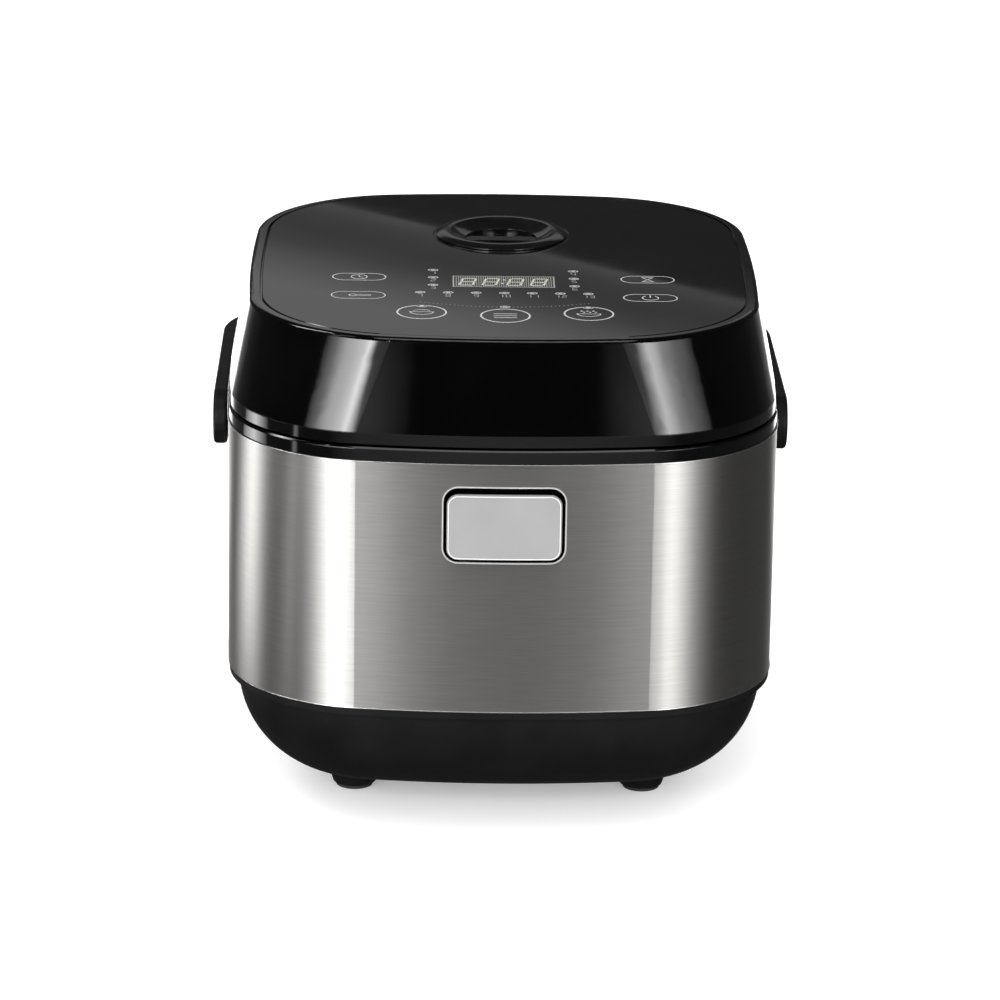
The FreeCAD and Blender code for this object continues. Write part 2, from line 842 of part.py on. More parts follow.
def power_inlet():
    """A screw flange on the steel, and a socket behind it with two lower corners cut off."""
    back = body_d / 2
    face_y = back + inlet_flange_t
    flange = soft_slab(-inlet_flange_w / 2, inlet_flange_w / 2, 0, face_y, inlet_z - inlet_flange_h / 2,
                       inlet_z + inlet_flange_h / 2, inlet_wall * 2, at(0, 1, 0))
    flange = flange.cut(plan_block(-running, 0, lid_top))
    floor_y = back - inlet_depth
    body = slab(-inlet_w / 2, inlet_w / 2, floor_y, back, inlet_z - inlet_h / 2, inlet_z + inlet_h / 2)
    half_w = inlet_w / 2 - inlet_wall
    half_h = inlet_h / 2 - inlet_wall
    mouth = slab(-half_w, half_w, floor_y + inlet_floor, face_y, inlet_z - half_h, inlet_z + half_h)
    low = [edge for edge in edges_along(mouth, at(0, 1, 0)) if edge.BoundBox.ZMax < inlet_z]
    mouth = mouth.makeChamfer(inlet_chamfer, low)
    screw_holes = [rod_y(screw_r + fit, 0, face_y, sx * inlet_screw_x, inlet_z) for sx in (-1, 1)]
    return flange.fuse(body).cut([mouth] + screw_holes + inlet_pin_boxes())


def inlet_pins():
    return Part.makeCompound(inlet_pin_boxes())


def inlet_screws():
    small = screw(screw_r, screw_head_r, screw_head_h, inlet_flange_t + screw_grip)
    small.rotate(at(0, 0, 0), at(1, 0, 0), 90)
    made = []
    for sx in (-1, 1):
        copy = small.copy()
        copy.translate(at(sx * inlet_screw_x, body_d / 2 + inlet_flange_t, inlet_z))
        made.append(copy)
    return Part.makeCompound(made)


# Button and latch

def button_housing():
    """A block behind the opening: a pocket for the button, a slot for the lever and two spring bores."""
    half_w = opening_w / 2 + button_flange + fit + housing_wall
    low = opening_z - opening_h / 2 - button_flange - fit
    block = slab(-half_w, half_w, 2 * front_y, housing_y, low - housing_wall, collar_z)
    block = block.common(plan_block(spigot_out, 0, lid_top))
    pocket = button_opening(button_flange + fit, 2 * front_y, flange_back + button_travel + fit)
    lever_slot = slab(-lever_w / 2 - lever_room, lever_w / 2 + lever_room, lever_y - lever_t / 2 - lever_room,
                      housing_y - housing_wall, lever_z - lever_down - joint_gap, collar_z)
    bores = [rod_y(button_spring_r + fit, front_y, housing_y - spring_floor, x, button_spring_z)
             for x in (-button_spring_x, button_spring_x)]
    half_pin = lever_w / 2 + lever_room + housing_wall
    pin_bore = rod_x(latch_pin_r + running, -half_pin, half_pin, lever_y, lever_z)
    return block.cut([pocket, lever_slot, pin_bore] + bores)


def latch_button():
    """A bowed face that follows the steel, a flange behind the opening and a pusher for the lever."""
    half_w = button_w / 2
    half_h = button_h / 2
    face = soft_slab(-half_w, half_w, 2 * front_y, flange_front, button_z - half_h, button_z + half_h,
                     button_corner_r, at(0, 1, 0))
    face = face.common(plan_block(-button_proud, 0, lid_top))
    front_edges = [edge for edge in face.Edges if edge.BoundBox.YMax < flange_front - button_flange_set]
    face = face.makeFillet(button_edge_r, front_edges)
    flange = button_opening(button_flange, flange_front, flange_back)
    push_z = lever_z - pusher_drop
    pusher = slab(-lever_w / 2, lever_w / 2, flange_back, lever_y - lever_t / 2 - pusher_gap,
                  push_z - pusher_h / 2, push_z + pusher_h / 2)
    return face.fuse([flange, pusher]).removeSplitter()


def button_springs():
    springs = []
    for x in (-button_spring_x, button_spring_x):
        outer = rod_y(button_spring_r, flange_back, housing_y - spring_floor, x, button_spring_z)
        springs.append(outer.cut(rod_y(button_spring_r - button_spring_t, front_y, 0, x, button_spring_z)))
    return Part.makeCompound(springs)


def latch_lever():
    """A rocker on a cross pin: the button pushes its lower end, and its nose on top swings forward."""
    y0 = lever_y - lever_t / 2
    y1 = lever_y + lever_t / 2
    bar = slab(-lever_w / 2, lever_w / 2, y0, y1, lever_z - lever_down, lever_z + lever_up)
    boss = rod_x(latch_pin_r + lever_t / 2, -lever_w / 2, lever_w / 2, lever_y, lever_z)
    top = lever_z + lever_up
    nose = slab(-lever_w / 2, lever_w / 2, lever_y, y1 + nose_reach, top - nose_h, top)
    tip = [edge for edge in edges_along(nose, at(1, 0, 0)) if edge.BoundBox.YMin > y1]
    nose = nose.makeChamfer(nose_h / 2, [edge for edge in tip if edge.BoundBox.ZMin > top - nose_h / 2])
    bore = rod_x(latch_pin_r + running, -lever_w, lever_w, lever_y, lever_z)
    return bar.fuse([boss, nose]).cut(bore).removeSplitter()


def latch_pin():
    half_pin = lever_w / 2 + lever_room + housing_wall
    return rod_x(latch_pin_r, -half_pin, half_pin, lever_y, lever_z)


def catch_stem(grow):
    return slab(-catch_w / 2 - grow, catch_w / 2 + grow, catch_y + catch_tooth - grow,
                catch_y + catch_tooth + catch_t + grow, catch_low, lid_floor)


def lid_catch():
    """A hook under the front of the lid, hung by its flange on the lid frame's floor."""
    half_w = catch_w / 2
    stem_y = catch_y + catch_tooth
    tooth = slab(-half_w, half_w, catch_y, stem_y, catch_low, catch_low + catch_tooth)
    middle = tooth.BoundBox.Center
    tip = [edge for edge in edges_along(tooth, at(1, 0, 0)) if edge.BoundBox.YMax < middle.y]
    tooth = tooth.makeChamfer(catch_tooth / 2, [edge for edge in tip if edge.BoundBox.ZMax < middle.z])
    flange = slab(-half_w - catch_flange, half_w + catch_flange, stem_y - catch_flange,
                  stem_y + catch_t + catch_flange, lid_floor, lid_floor + catch_flange_t)
    return catch_stem(0).fuse([tooth, flange]).removeSplitter()


# Hinge

def hinge_pin():
    half = barrel_w / 2 + joint_gap + ear_w + joint_gap
    return rod_x(hinge_pin_r, -half, half, hinge_y, hinge_z)


def hinge_spring():
    half = barrel_w / 2 - barrel_end - joint_gap
    outer_r = barrel_r - barrel_wall - fit
    sleeve = rod_x(outer_r, -half, half, hinge_y, hinge_z)
    return sleeve.cut(rod_x(outer_r - hinge_spring_t, -half, half, hinge_y, hinge_z))


# Handle

def carry_handle():
    """A bail: a U in plan, cut to a side view that tapers from the round hubs to the grip."""
    outer_x = arm_x + arm_t
    grip_back = grip_y + grip_t
    outer = slab(-outer_x, outer_x, -hub_r, grip_back, 0, lid_top)
    outer = outer.makeFillet(bail_corner_r, [e for e in edges_along(outer, UP) if e.BoundBox.YMin > 0])
    inner = slab(-arm_x, arm_x, -2 * hub_r, grip_y, 0, lid_top)
    inner_edges = [e for e in edges_along(inner, UP) if e.BoundBox.YMin > 0]
    inner = inner.makeFillet(bail_corner_r - arm_t, inner_edges)
    hub_low = at(0, 0, handle_z - hub_r)
    hub_high = at(0, 0, handle_z + hub_r)
    grip_low = at(0, grip_back, handle_z - grip_h / 2)
    grip_high = at(0, grip_back, handle_z + grip_h / 2)
    hub = Part.Arc(hub_low, at(0, -hub_r, handle_z), hub_high).toShape()
    taper = Part.makePolygon([hub_high, grip_high, grip_low, hub_low])
    view = Part.Face(Part.Wire([hub] + taper.Edges))
    view.translate(at(-2 * outer_x, 0, 0))
    bail = outer.cut(inner).common(view.extrude(at(4 * outer_x, 0, 0)))
    bail = bail.makeFillet(handle_edge_r, bail.Edges)
    head_x = outer_x - pivot_head_t - fit
    return bail.cut([rod_x(pivot_r + running, -2 * outer_x, 2 * outer_x, 0, handle_z),
                     rod_x(pivot_head_r + fit, head_x, 2 * outer_x, 0, handle_z),
                     rod_x(pivot_head_r + fit, -2 * outer_x, -head_x, 0, handle_z)])


def handle_brackets():
    """A block behind the steel on each side, hung under the collar and bored for the handle's pivot."""
    low = handle_z - hanger_w / 2
    block = slab(hanger_x - hanger_t, hanger_x, -hanger_w / 2, hanger_w / 2, low, collar_z)
    foot = [edge for edge in edges_along(block, at(1, 0, 0)) if edge.BoundBox.ZMax < handle_z]
    block = block.makeFillet(hanger_t, foot)
    return both_sides(block.cut(rod_x(pivot_r + running, 0, body_w, 0, handle_z)))


def handle_pivots():
    inner_x = hanger_x - hanger_t
    head_x = arm_x + arm_t - pivot_head_t
    clip = rod_x(pivot_r * 1.5, inner_x - fit - strap_t, inner_x - fit, 0, handle_z)
    shaft = rod_x(pivot_r, inner_x - fit - strap_t, head_x, 0, handle_z)
    head = rod_x(pivot_head_r, head_x, head_x + pivot_head_t, 0, handle_z)
    return both_sides(shaft.fuse([clip, head]).removeSplitter())


def handle_washers():
    x0 = side_x + fit / 2
    x1 = arm_x - fit / 2
    ring = rod_x(washer_r, x0, x1, 0, handle_z)
    return both_sides(ring.cut(rod_x(pivot_r + running, x0, x1, 0, handle_z)))


# Lid

def taper_inset(z):
    return cover_inset + (rim_inset - cover_inset) * (z - cover_z) / cover_h


def taper_corner(z):
    start = corner_r - cover_inset
    return start + (rim_corner_r - start) * (z - cover_z) / cover_h


def tapered(extra, z1):
    """The lid's tapered form from its lower edge up to z1, drawn in by extra."""
    wires = [outline(taper_inset(z) + extra, z, taper_corner(z) - extra) for z in (cover_z, z1)]
    return Part.makeLoft(wires, True, True)


def lid_cover():
    cover = tapered(0, lid_top)
    rim = [edge for edge in cover.Edges if edge.BoundBox.ZMin > lid_top - 0.01]
    cover = cover.makeFillet(rim_edge_r, rim)
    hollow = tapered(cover_wall, deck_under)
    recess = plan_block(rim_inset + rim_w, deck_z, lid_top, rim_corner_r - rim_w)
    cover = cover.cut([hollow, recess])
    bosses = holes(lid_boss_r, lid_boss_spots, lid_floor, deck_under + deck_t / 2)
    bosses += holes(standoff_r, control_spots, control_top, deck_under + deck_t / 2)
    cover = cover.fuse(bosses)
    cuts = holes(screw_r, lid_boss_spots, lid_floor - 1, lid_floor + 4 * screw_grip)
    cuts += holes(screw_r, control_spots, control_top - 1, control_top + control_drop)
    cuts += holes(lamp_r + fit, lamp_spots, deck_under - 1, deck_z)
    cuts += holes(touch_spring_r + joint_gap, touch_spots, deck_under - 1, deck_z)
    window_w = display_w / 2 + joint_gap
    window_d = display_d / 2 + joint_gap
    cuts.append(slab(-window_w, window_w, display_y - window_d, display_y + window_d, deck_under - 1, deck_z))
    cuts.append(disc(well_r + well_t + fit, deck_under - 1, deck_z, 0, vent_y))
    return cover.cut(cuts)


def lid_frame():
    """The lid's lower band: a shallow tray with the liner's opening, a locating lip and the hinge barrel."""
    tray = plan_block(cover_inset, frame_z, cover_z)
    tray = tray.cut(plan_block(cover_inset + cover_wall, lid_floor, cover_z))
    lip_in = cover_inset + cover_wall + fit
    lip = band(lip_in, lip_in + frame_spigot_t, lid_floor - frame_floor / 2, cover_z + frame_spigot_h)
    lip = lip.common(tapered(cover_wall + fit, lid_top).fuse(plan_block(lip_in, frame_z, cover_z)))
    barrel = rod_x(barrel_r, -barrel_w / 2, barrel_w / 2, hinge_y, hinge_z)
    web = slab(-barrel_w / 2, barrel_w / 2, body_d / 2 - lip_in - frame_spigot_t, hinge_y,
               cover_z - fit - web_h, cover_z - fit)
    frame = tray.fuse([lip, barrel, web])
    inside = barrel_w / 2 - barrel_end
    cuts = [disc(liner_r + fit, 0, lid_top), catch_stem(fit),
            rod_x(hinge_pin_r + running, -body_w, body_w, hinge_y, hinge_z),
            rod_x(barrel_r - barrel_wall, -inside, inside, hinge_y, hinge_z)]
    cuts += holes(screw_r + fit, lid_boss_spots, 0, lid_floor)
    cuts += holes(screw_head_r + fit, lid_boss_spots, 0, frame_z + frame_floor / 2)
    return frame.cut(cuts).removeSplitter()


def lid_screws():
    seat = frame_z + frame_floor / 2
    small = screw(screw_r, screw_head_r, (frame_floor - fit) / 2, frame_floor / 2 + 3 * screw_grip)
    return copies(small, lid_boss_spots, seat)


def control_panel():
    glass = plan_block(panel_inset, deck_z, lid_top, rim_corner_r - rim_w - joint_gap)
    edge = [e for e in glass.Edges if e.BoundBox.ZMin > lid_top - 1e-6]
    glass = glass.makeChamfer(fit, edge)
    return glass.cut(disc(well_r + well_t + well_flange_w + fit, deck_z, lid_top, 0, vent_y))


def control_board():
    board = soft_slab(-control_w / 2, control_w / 2, control_y - control_d / 2, control_y + control_d / 2,
                      control_z, control_top, control_edge, UP)
    return board.cut(holes(screw_r, control_spots, control_z, control_top))


def control_screws():
    small = screw(screw_r, screw_head_r, screw_head_h, control_t + control_drop)
    return copies(small, control_spots, control_z)


def display_module():
    return slab(-display_w / 2, display_w / 2, display_y - display_d / 2, display_y + display_d / 2,
                control_top, deck_z - glow_gap)


def indicator_leds():
    return Part.makeCompound(holes(lamp_r, lamp_spots, control_top, deck_z - glow_gap))


def touch_springs():
    inner_r = touch_spring_r - touch_spring_t
    return Part.makeCompound([tube(inner_r, touch_spring_r, control_top, deck_z - fit, x, y)
                              for x, y in touch_spots])


def lid_liner():
    wall_r = liner_r - liner_t
    tub = turned(profile((0, liner_z), (liner_r, liner_z), (liner_r, lid_floor),
                         (liner_r + liner_flange_w, lid_floor),
                         (liner_r + liner_flange_w, lid_floor + liner_t), (wall_r, lid_floor + liner_t),
                         (wall_r, liner_z + liner_t), (0, liner_z + liner_t)))
    tub = tub.fuse(disc(liner_post_r, liner_z - liner_post_len, liner_z))
    return tub.cut([disc(nozzle_r + nozzle_t + fit, liner_z, lid_floor, 0, vent_y),
                    disc(lid_sensor_r + fit, liner_z, lid_floor, lid_sensor_x, 0)])


def inner_lid_plate():
    """A pressed disc: a flat rim, and a middle that is stepped down towards the food."""
    inner_z = lid_plate_z - lid_plate_step
    step_r = lid_plate_step_r
    disc_face = profile((liner_post_r + fit, inner_z), (step_r, inner_z),
                        (step_r + 2 * lid_plate_step, lid_plate_z), (lid_plate_r, lid_plate_z),
                        (lid_plate_r, lid_plate_z + lid_plate_t),
                        (step_r + 2 * lid_plate_step - lid_plate_t / 2, lid_plate_z + lid_plate_t),
                        (step_r - lid_plate_t / 2, inner_z + lid_plate_t),
                        (liner_post_r + fit, inner_z + lid_plate_t))
    cuts = [disc(lid_sensor_r + 2 * fit, 0, lid_top, lid_sensor_x, 0)]
    for k in range(steam_hole_count):
        x, y = polar(steam_ring_r, 360 * k / steam_hole_count)
        cuts.append(disc(steam_hole_r, 0, lid_top, x, vent_y + y))
    return turned(disc_face).cut(cuts)


def lid_seal():
    """A ring that grips the liner, shrouds the plate's edge and lays a thin lip on the pot's flange."""
    top = frame_z - fit
    inner_r = liner_r + fit
    grip_r = lid_plate_r + fit
    lip_z0 = seat_z + pot_t + fit
    ledge_z = lid_plate_z + lid_plate_t + fit
    wall_r = grip_r + seal_wall
    lip_r = wall_r + seal_lip_w
    return turned(profile((inner_r, ledge_z), (grip_r, ledge_z), (grip_r, lid_plate_z - fit),
                          (wall_r, lid_plate_z - fit), (wall_r, lip_z0), (lip_r, lip_z0),
                          (lip_r, lip_z0 + seal_lip_t), (wall_r, top), (inner_r, top)))


def plate_grommet():
    top = lid_plate_z - lid_plate_step - fit
    post_end = liner_z - liner_post_len
    return turned(profile((0, post_end - 2 * liner_t), (grommet_r - liner_t, post_end - 2 * liner_t),
                          (grommet_r, post_end - liner_t), (grommet_r, top), (liner_post_r + running, top),
                          (liner_post_r + running, post_end - fit), (0, post_end - fit)))


def lid_sensor():
    low = lid_plate_z - lid_plate_step - lid_plate_t
    body = disc(lid_sensor_r, low, lid_floor, lid_sensor_x, 0)
    flange_z = liner_z + liner_t
    return body.fuse(disc(lid_sensor_r + 2 * liner_t, flange_z, flange_z + liner_t, lid_sensor_x, 0))


# Steam vent

def vent_well():
    tip_r = nozzle_r + nozzle_t
    outer_r = well_r + well_t
    flange_r = outer_r + well_flange_w
    section = profile((nozzle_r, liner_z), (tip_r, liner_z), (tip_r, well_floor_z), (outer_r, well_floor_z),
                      (outer_r, deck_z), (flange_r, deck_z), (flange_r, lid_top), (well_r, lid_top),
                      (well_r, well_floor_z + well_t), (nozzle_r, well_floor_z + well_t))
    return turned(section, 0, vent_y)


def vent_cap():
    """A dished cap: a rounded shoulder, a dish inside its crest, and a sunk floor with two steam slots."""
    z = lid_top + fit
    crest = lid_top + cap_crest_h
    dish_z = lid_top - dish_depth
    floor_z = dish_z - dish_step
    tube_in = cap_tube_r - cap_tube_t
    shoulder = ((cap_r + cap_crest_r) / 2 + cap_edge_h, crest - cap_edge_h / 2)
    hollow = ((cap_crest_r + dish_r) / 2 - cap_edge_h, (crest + dish_z) / 2 - cap_edge_h)
    under_z = floor_z - cap_floor_t
    tube_end = lid_top - cap_tube_len
    section = profile((cap_tube_r, z), (cap_r, z), (cap_r, z + cap_edge_h), (shoulder, (cap_crest_r, crest)),
                      (cap_crest_r - cap_edge_h, crest), (hollow, (dish_r, dish_z)), (dish_r, floor_z),
                      (0, floor_z), (0, under_z), (tube_in, under_z), (tube_in, tube_end),
                      (cap_tube_r, tube_end))
    ring = tube(cap_slot_r - slot_w / 2, cap_slot_r + slot_w / 2, under_z, floor_z, 0, vent_y)
    bridges = slab(-slot_w, slot_w, 0, body_d, 0, lid_top)
    return turned(section, 0, vent_y).cut(ring.cut(bridges))


def vent_cup():
    outer_r = cap_tube_r + fit + cup_t
    groove_z = cup_z + cup_seal_rise
    cup = disc(outer_r, cup_z, lid_top - cup_sink, 0, vent_y)
    groove = tube(seal_outer_r - cup_seal_t - fit, outer_r + cup_t, groove_z - fit / 2,
                  groove_z + cup_seal_h + fit / 2, 0, vent_y)
    return cup.cut([disc(outer_r - cup_t, cup_z + cup_t, lid_top, 0, vent_y),
                    disc(nozzle_r, cup_z, lid_top, 0, vent_y), groove])


def vent_seal():
    groove_z = cup_z + cup_seal_rise
    return tube(seal_outer_r - cup_seal_t, seal_outer_r, groove_z, groove_z + cup_seal_h, 0, vent_y)


makers = [base_shell, feet, foot_pads, base_screws, outer_jacket, upper_collar, collar_screws, inner_shell,
          inner_pot, heating_plate, plate_screws, heating_element, heater_leads, thermal_fuse, sensor_bracket,
          sensor_capsule, sensor_spring, power_board, board_screws, terminal_block, relay, transformer,
          capacitors, power_inlet, inlet_pins, inlet_screws, button_housing, latch_button, button_springs,
          latch_lever, latch_pin, lid_catch, hinge_pin, hinge_spring, carry_handle, handle_brackets,
          handle_pivots, handle_washers,
          lid_cover, lid_frame, lid_screws, control_panel, control_board, control_screws, display_module,
          indicator_leds, touch_springs, lid_liner, inner_lid_plate, lid_seal, plate_grommet, lid_sensor,
          vent_well, vent_cap, vent_cup, vent_seal]

os.makedirs("parts", exist_ok=True)
for maker in makers:
    shape = maker()
    shape.exportStep("parts/" + maker.__name__ + ".step")
    print(maker.__name__, len(shape.Solids), shape.isValid())
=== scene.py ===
import json
import math

import bmesh
import bpy
from mathutils import Matrix, Vector
from mathutils.bvhtree import BVHTree


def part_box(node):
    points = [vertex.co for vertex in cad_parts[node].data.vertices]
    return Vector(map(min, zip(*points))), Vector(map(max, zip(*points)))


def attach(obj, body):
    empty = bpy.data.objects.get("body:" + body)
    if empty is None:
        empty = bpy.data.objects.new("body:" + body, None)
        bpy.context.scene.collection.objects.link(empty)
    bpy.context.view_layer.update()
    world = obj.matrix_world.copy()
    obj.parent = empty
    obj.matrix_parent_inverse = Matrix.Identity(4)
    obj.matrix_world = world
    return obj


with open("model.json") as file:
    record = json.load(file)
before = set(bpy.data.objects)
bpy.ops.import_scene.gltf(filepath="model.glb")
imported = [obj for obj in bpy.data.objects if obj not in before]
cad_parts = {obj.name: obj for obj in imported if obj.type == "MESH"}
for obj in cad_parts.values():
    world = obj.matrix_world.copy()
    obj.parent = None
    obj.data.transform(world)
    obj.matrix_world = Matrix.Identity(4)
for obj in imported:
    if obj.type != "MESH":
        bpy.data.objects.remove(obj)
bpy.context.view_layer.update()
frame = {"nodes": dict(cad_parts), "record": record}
nodes = frame["nodes"]

MM = 0.001

# Camera, as fitted to the photograph, in metres and degrees, with its lens and sensor in millimetres
CAM_DISTANCE = 2.502
CAM_TARGET_X = 0.0003
CAM_TARGET_Z = 0.110
CAM_ELEVATION = 18.08
CAM_TURN = 1.014
CAM_ROLL = 0.866
CAM_LENS = 178.6
CAM_SENSOR = 36.0
CAM_SHIFT = (0.0019, 0.0242)
CAM_REACH = 50.0

# Textures: the middle span of a noise, and how fine and strong each kind is
TEXTURE_SPAN = (0.3, 0.7)
CLOUD_SCALE = 35.0
CLOUD_DETAIL = 4.0
GRAIN_DETAIL = 2.0
GRAIN_STRENGTH = 0.35
BRUSH_DETAIL = 4.0
BRUSH_STRENGTH = 0.25
BRUSH_TURN = 0.25
BRUSH_STRETCH = (0.2, 0.2, 7.0)
EVEN = (1, 1, 1)
EDGE_SAMPLES = 4
COAT_ROUGHNESS = 0.04

# Paint on the button in millimetres: how far it runs back from the front and how softly it ends; behind it,
# a near-black tone paints the shade in the gap round the button
PAINT_DEPTH = 1.9
PAINT_FADE = 0.15
BARE_SHADE_TONE = 0.0008

# Prints in millimetres: their height over the surface, their thickness and their lines
PRINT_LIFT = 0.05
PRINT_T = 0.03
LINE_W = 0.55
THIN_LINE_W = LINE_W * 0.8
MITRE_LIMIT = 0.35

# Places on the panel in millimetres, seen from above with the front towards -Y
KEY_R = 11.7
KEY_SPOTS = ((-40.0, -92.0), (0.0, -97.0), (40.0, -92.0))
KEY_LINE_W = LINE_W * 1.5
KEY_ICON_R = KEY_R * 0.48
PILL_SIZE = (26.0, 12.5)
PILL_SPOTS = ((-70.7, -29.0), (-70.7, -62.5), (70.7, -29.0), (70.7, -62.5))
PILL_ICON_R = PILL_SIZE[1] * 0.31
LAMP_SIZE = (2.3, 1.5)
LAMP_CORE = (LAMP_SIZE[0] * 0.5, LAMP_SIZE[1] * 0.4)
LAMP_COLUMN_X = 34.5
LAMP_COLUMN_Y = (-15.0, -28.8, -42.6)
LAMP_ROW_Y = -56.3
LAMP_ROW_PITCH = 13.6
LAMP_ROW_SIDE = 3
KEY_LAMP_Y = -81.3
LABEL_SIZE = (2.0, 4.0)
LABEL_LINE_W = 0.42
LABEL_PITCH = 3.6
LABEL_DROP = 5.4

# The bow of dots over the round keys
DOT_COUNT = 41
DOT_R = 0.32
DOT_REACH = 40.5
DOT_Y = -81.7
DOT_BOW = 7.9

# The display: a dark window, its frame and hatching, and the digits on top
WINDOW_SIZE = (50.0, 20.5)
WINDOW_SPOT = (0.0, -35.5)
WINDOW_T = PRINT_T * 0.5
WINDOW_FRAME_IN = 0.8
WINDOW_FRAME_W = 0.7
HATCH_T = PRINT_T * 0.8
HATCH_LINES = 44
HATCH_LINE_W = 0.32
HATCH_IN = (1.4, 2.0)
DIGIT_X = (-17.5, -6.2, 5.8, 17.2)
DIGIT_DROP = 0.6
DIGIT_SIZE = (6.4, 12.4)
DIGIT_LINE_W = 1.05
DIGIT_LEAN = 0.16
DIGIT_GAP = 0.45
COLON_X = -0.3
COLON_Y = 3.2
COLON_R = 0.8

# Bright rolled edges of the steel, in millimetres
BEAD_R = 0.3
BEAD_STEP = 2.0
BEAD_RESOLUTION = 2
WALL_TILT = 0.3
LEVEL_SLACK = 0.1
ANGLE_DIGITS = 4

# The opening in the steel for the button, and its rolled edge, whose pale even tone paints the highlight
# along it
OPENING_SIZE = (57.6, 36.8)
OPENING_Z = 158.3
OPENING_CORNER_R = 7.0
RIM_BEAD_R = 0.4

# The button's face, and how far inside its outline the pale bead runs that paints the highlight of its
# rounded edge
BUTTON_SIZE = (54.6, 32.4)
BUTTON_Z = 157.6
BUTTON_CORNER_R = 5.5
BUTTON_EDGE_IN = 0.8
BUTTON_BEAD_R = 0.22

# The steam vent: its ring on the glass, and the bar in its recess, whose foot is below the panel's top
VENT_Y = 54.5
VENT_RING_R = 34.3
VENT_RING_POINTS = 96
VENT_BEAD_R = 0.35
VENT_BAR_SIZE = (35.4, 8.0)
VENT_BAR_CORNER_R = 2.0
VENT_BAR_FOOT = 4.5
VENT_BAR_H = 2.8
VENT_BAR_ROUND = 0.9
VENT_BAR_SEGMENTS = 3

# Marks inside the pot, in millimetres
POT_MARKS = 8
POT_MARK_Z = 92.0
POT_MARK_STEP = 9.0
POT_MARK_W = 12.0
POT_LINE_W = 0.7
POT_NUMBER_SIZE = (2.4, 4.8)
POT_MARK_LIFT = 0.06
POT_RIM_BAND = 12.0

# Floor of the studio, in metres
FLOOR_SIZE = 12.0
FLOOR_DROP = 0.0004
FLOOR_TONES = (0.84, 0.86)
FLOOR_CLOUD = (2.0, 3.0)
FLOOR_ROUGHNESS = 0.9
FLOOR_GLOSS = 0.1
FLOOR_GLOW = 0.3

# Brightness of the room on matte surfaces
ROOM_LIGHT = 1.0
# Brightness of the room in reflections from front to back, and of its ground from the sides to the ends
ROOM_DARK = (0.008, 0.06)
ROOM_GROUND = (0.06, 0.5)
GROUND_EDGE = (-0.15, 0.0)
GROUND_TURN = (0.75, 0.97)

# Cards and lights, in metres: how far they stand off, what they face, and the size of those on the floor
STAND_OFF = 2.2
AIM_Z = 0.12
LYING_NEAR = 1.0
LYING_LENGTH = 1.2
LYING_LIFT = 0.0005

# The card that the panel mirrors: the (x, z) ends of its slanting edge at one depth, and its brightness
PANEL_CARD_Y = 1.5
PANEL_CARD_EDGE = ((-0.113, 0.601), (0.226, 0.680))
PANEL_CARD_SIZE = (1.6, 0.5)
PANEL_CARD_STOPS = ((0.0, 0.3), (0.012, 0.2), (0.03, 0.155), (0.055, 0.145),
                    (0.08, 0.19), (0.105, 0.3), (0.15, 0.46), (1.0, 0.46))

panel_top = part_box("control_panel")[1].z
button_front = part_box("latch_button")[0].y
jacket_low, jacket_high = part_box("outer_jacket")


# Material nodes

def new_material(name):
    material = bpy.data.materials.new(name)
    material.use_nodes = True
    tree = material.node_tree
    return material, tree, tree.nodes["Principled BSDF"]


def add_node(tree, kind, **values):
    node = tree.nodes.new(kind)
    for key, value in values.items():
        setattr(node, key, value)
    return node


def place_of(tree, kind="Object"):
    """The coordinates of a shaded point in metres, or of a direction in the world."""
    place = add_node(tree, "ShaderNodeTexCoord")
    split = add_node(tree, "ShaderNodeSeparateXYZ")
    tree.links.new(place.outputs[kind], split.inputs["Vector"])
    return split.outputs


def noise_of(tree, scale, detail, stretch=EVEN):
    """Noise over the object's own coordinates in metres, with the scale set per axis."""
    place = add_node(tree, "ShaderNodeTexCoord")
    mapping = add_node(tree, "ShaderNodeMapping")
    mapping.inputs["Scale"].default_value = [scale * s for s in stretch]
    noise = add_node(tree, "ShaderNodeTexNoise")
    noise.inputs["Scale"].default_value = 1.0
    noise.inputs["Detail"].default_value = detail
    tree.links.new(place.outputs["Object"], mapping.inputs["Vector"])
    tree.links.new(mapping.outputs["Vector"], noise.inputs["Vector"])
    return noise.outputs["Fac"]


def ranged(tree, source, low, high, span=TEXTURE_SPAN):
    """A number that goes from low to high while the source goes through its span."""
    node = add_node(tree, "ShaderNodeMapRange")
    node.inputs["From Min"].default_value = span[0]
    node.inputs["From Max"].default_value = span[1]
    node.inputs["To Min"].default_value = low
    node.inputs["To Max"].default_value = high
    tree.links.new(source, node.inputs["Value"])
    return node.outputs["Result"]


def tinted(tree, source, dark, light):
    """A colour that follows a texture between two tones."""
    ramp = add_node(tree, "ShaderNodeValToRGB")
    for element, position, tone in zip(ramp.color_ramp.elements, TEXTURE_SPAN, (dark, light)):
        element.position = position
        element.color = (*tone, 1)
    tree.links.new(source, ramp.inputs["Fac"])
    return ramp.outputs["Color"]


def softened(tree, shader, radius):
    """Shades sharp edges as if they were rounded."""
    edge = add_node(tree, "ShaderNodeBevel", samples=EDGE_SAMPLES)
    edge.inputs["Radius"].default_value = radius
    tree.links.new(edge.outputs["Normal"], shader.inputs["Normal"])


def bumped(tree, shader, source, strength, distance):
    """Adds a relief to the shader, on top of softened edges where it has them."""
    bump = add_node(tree, "ShaderNodeBump")
    if shader.inputs["Normal"].is_linked:
        tree.links.new(shader.inputs["Normal"].links[0].from_socket, bump.inputs["Normal"])
    bump.inputs["Strength"].default_value = strength
    bump.inputs["Distance"].default_value = distance
    tree.links.new(source, bump.inputs["Height"])
    tree.links.new(bump.outputs["Normal"], shader.inputs["Normal"])


# Kinds of material

def grey(value, warm=0.0):
    return (value * (1 + warm), value, value * (1 - warm))


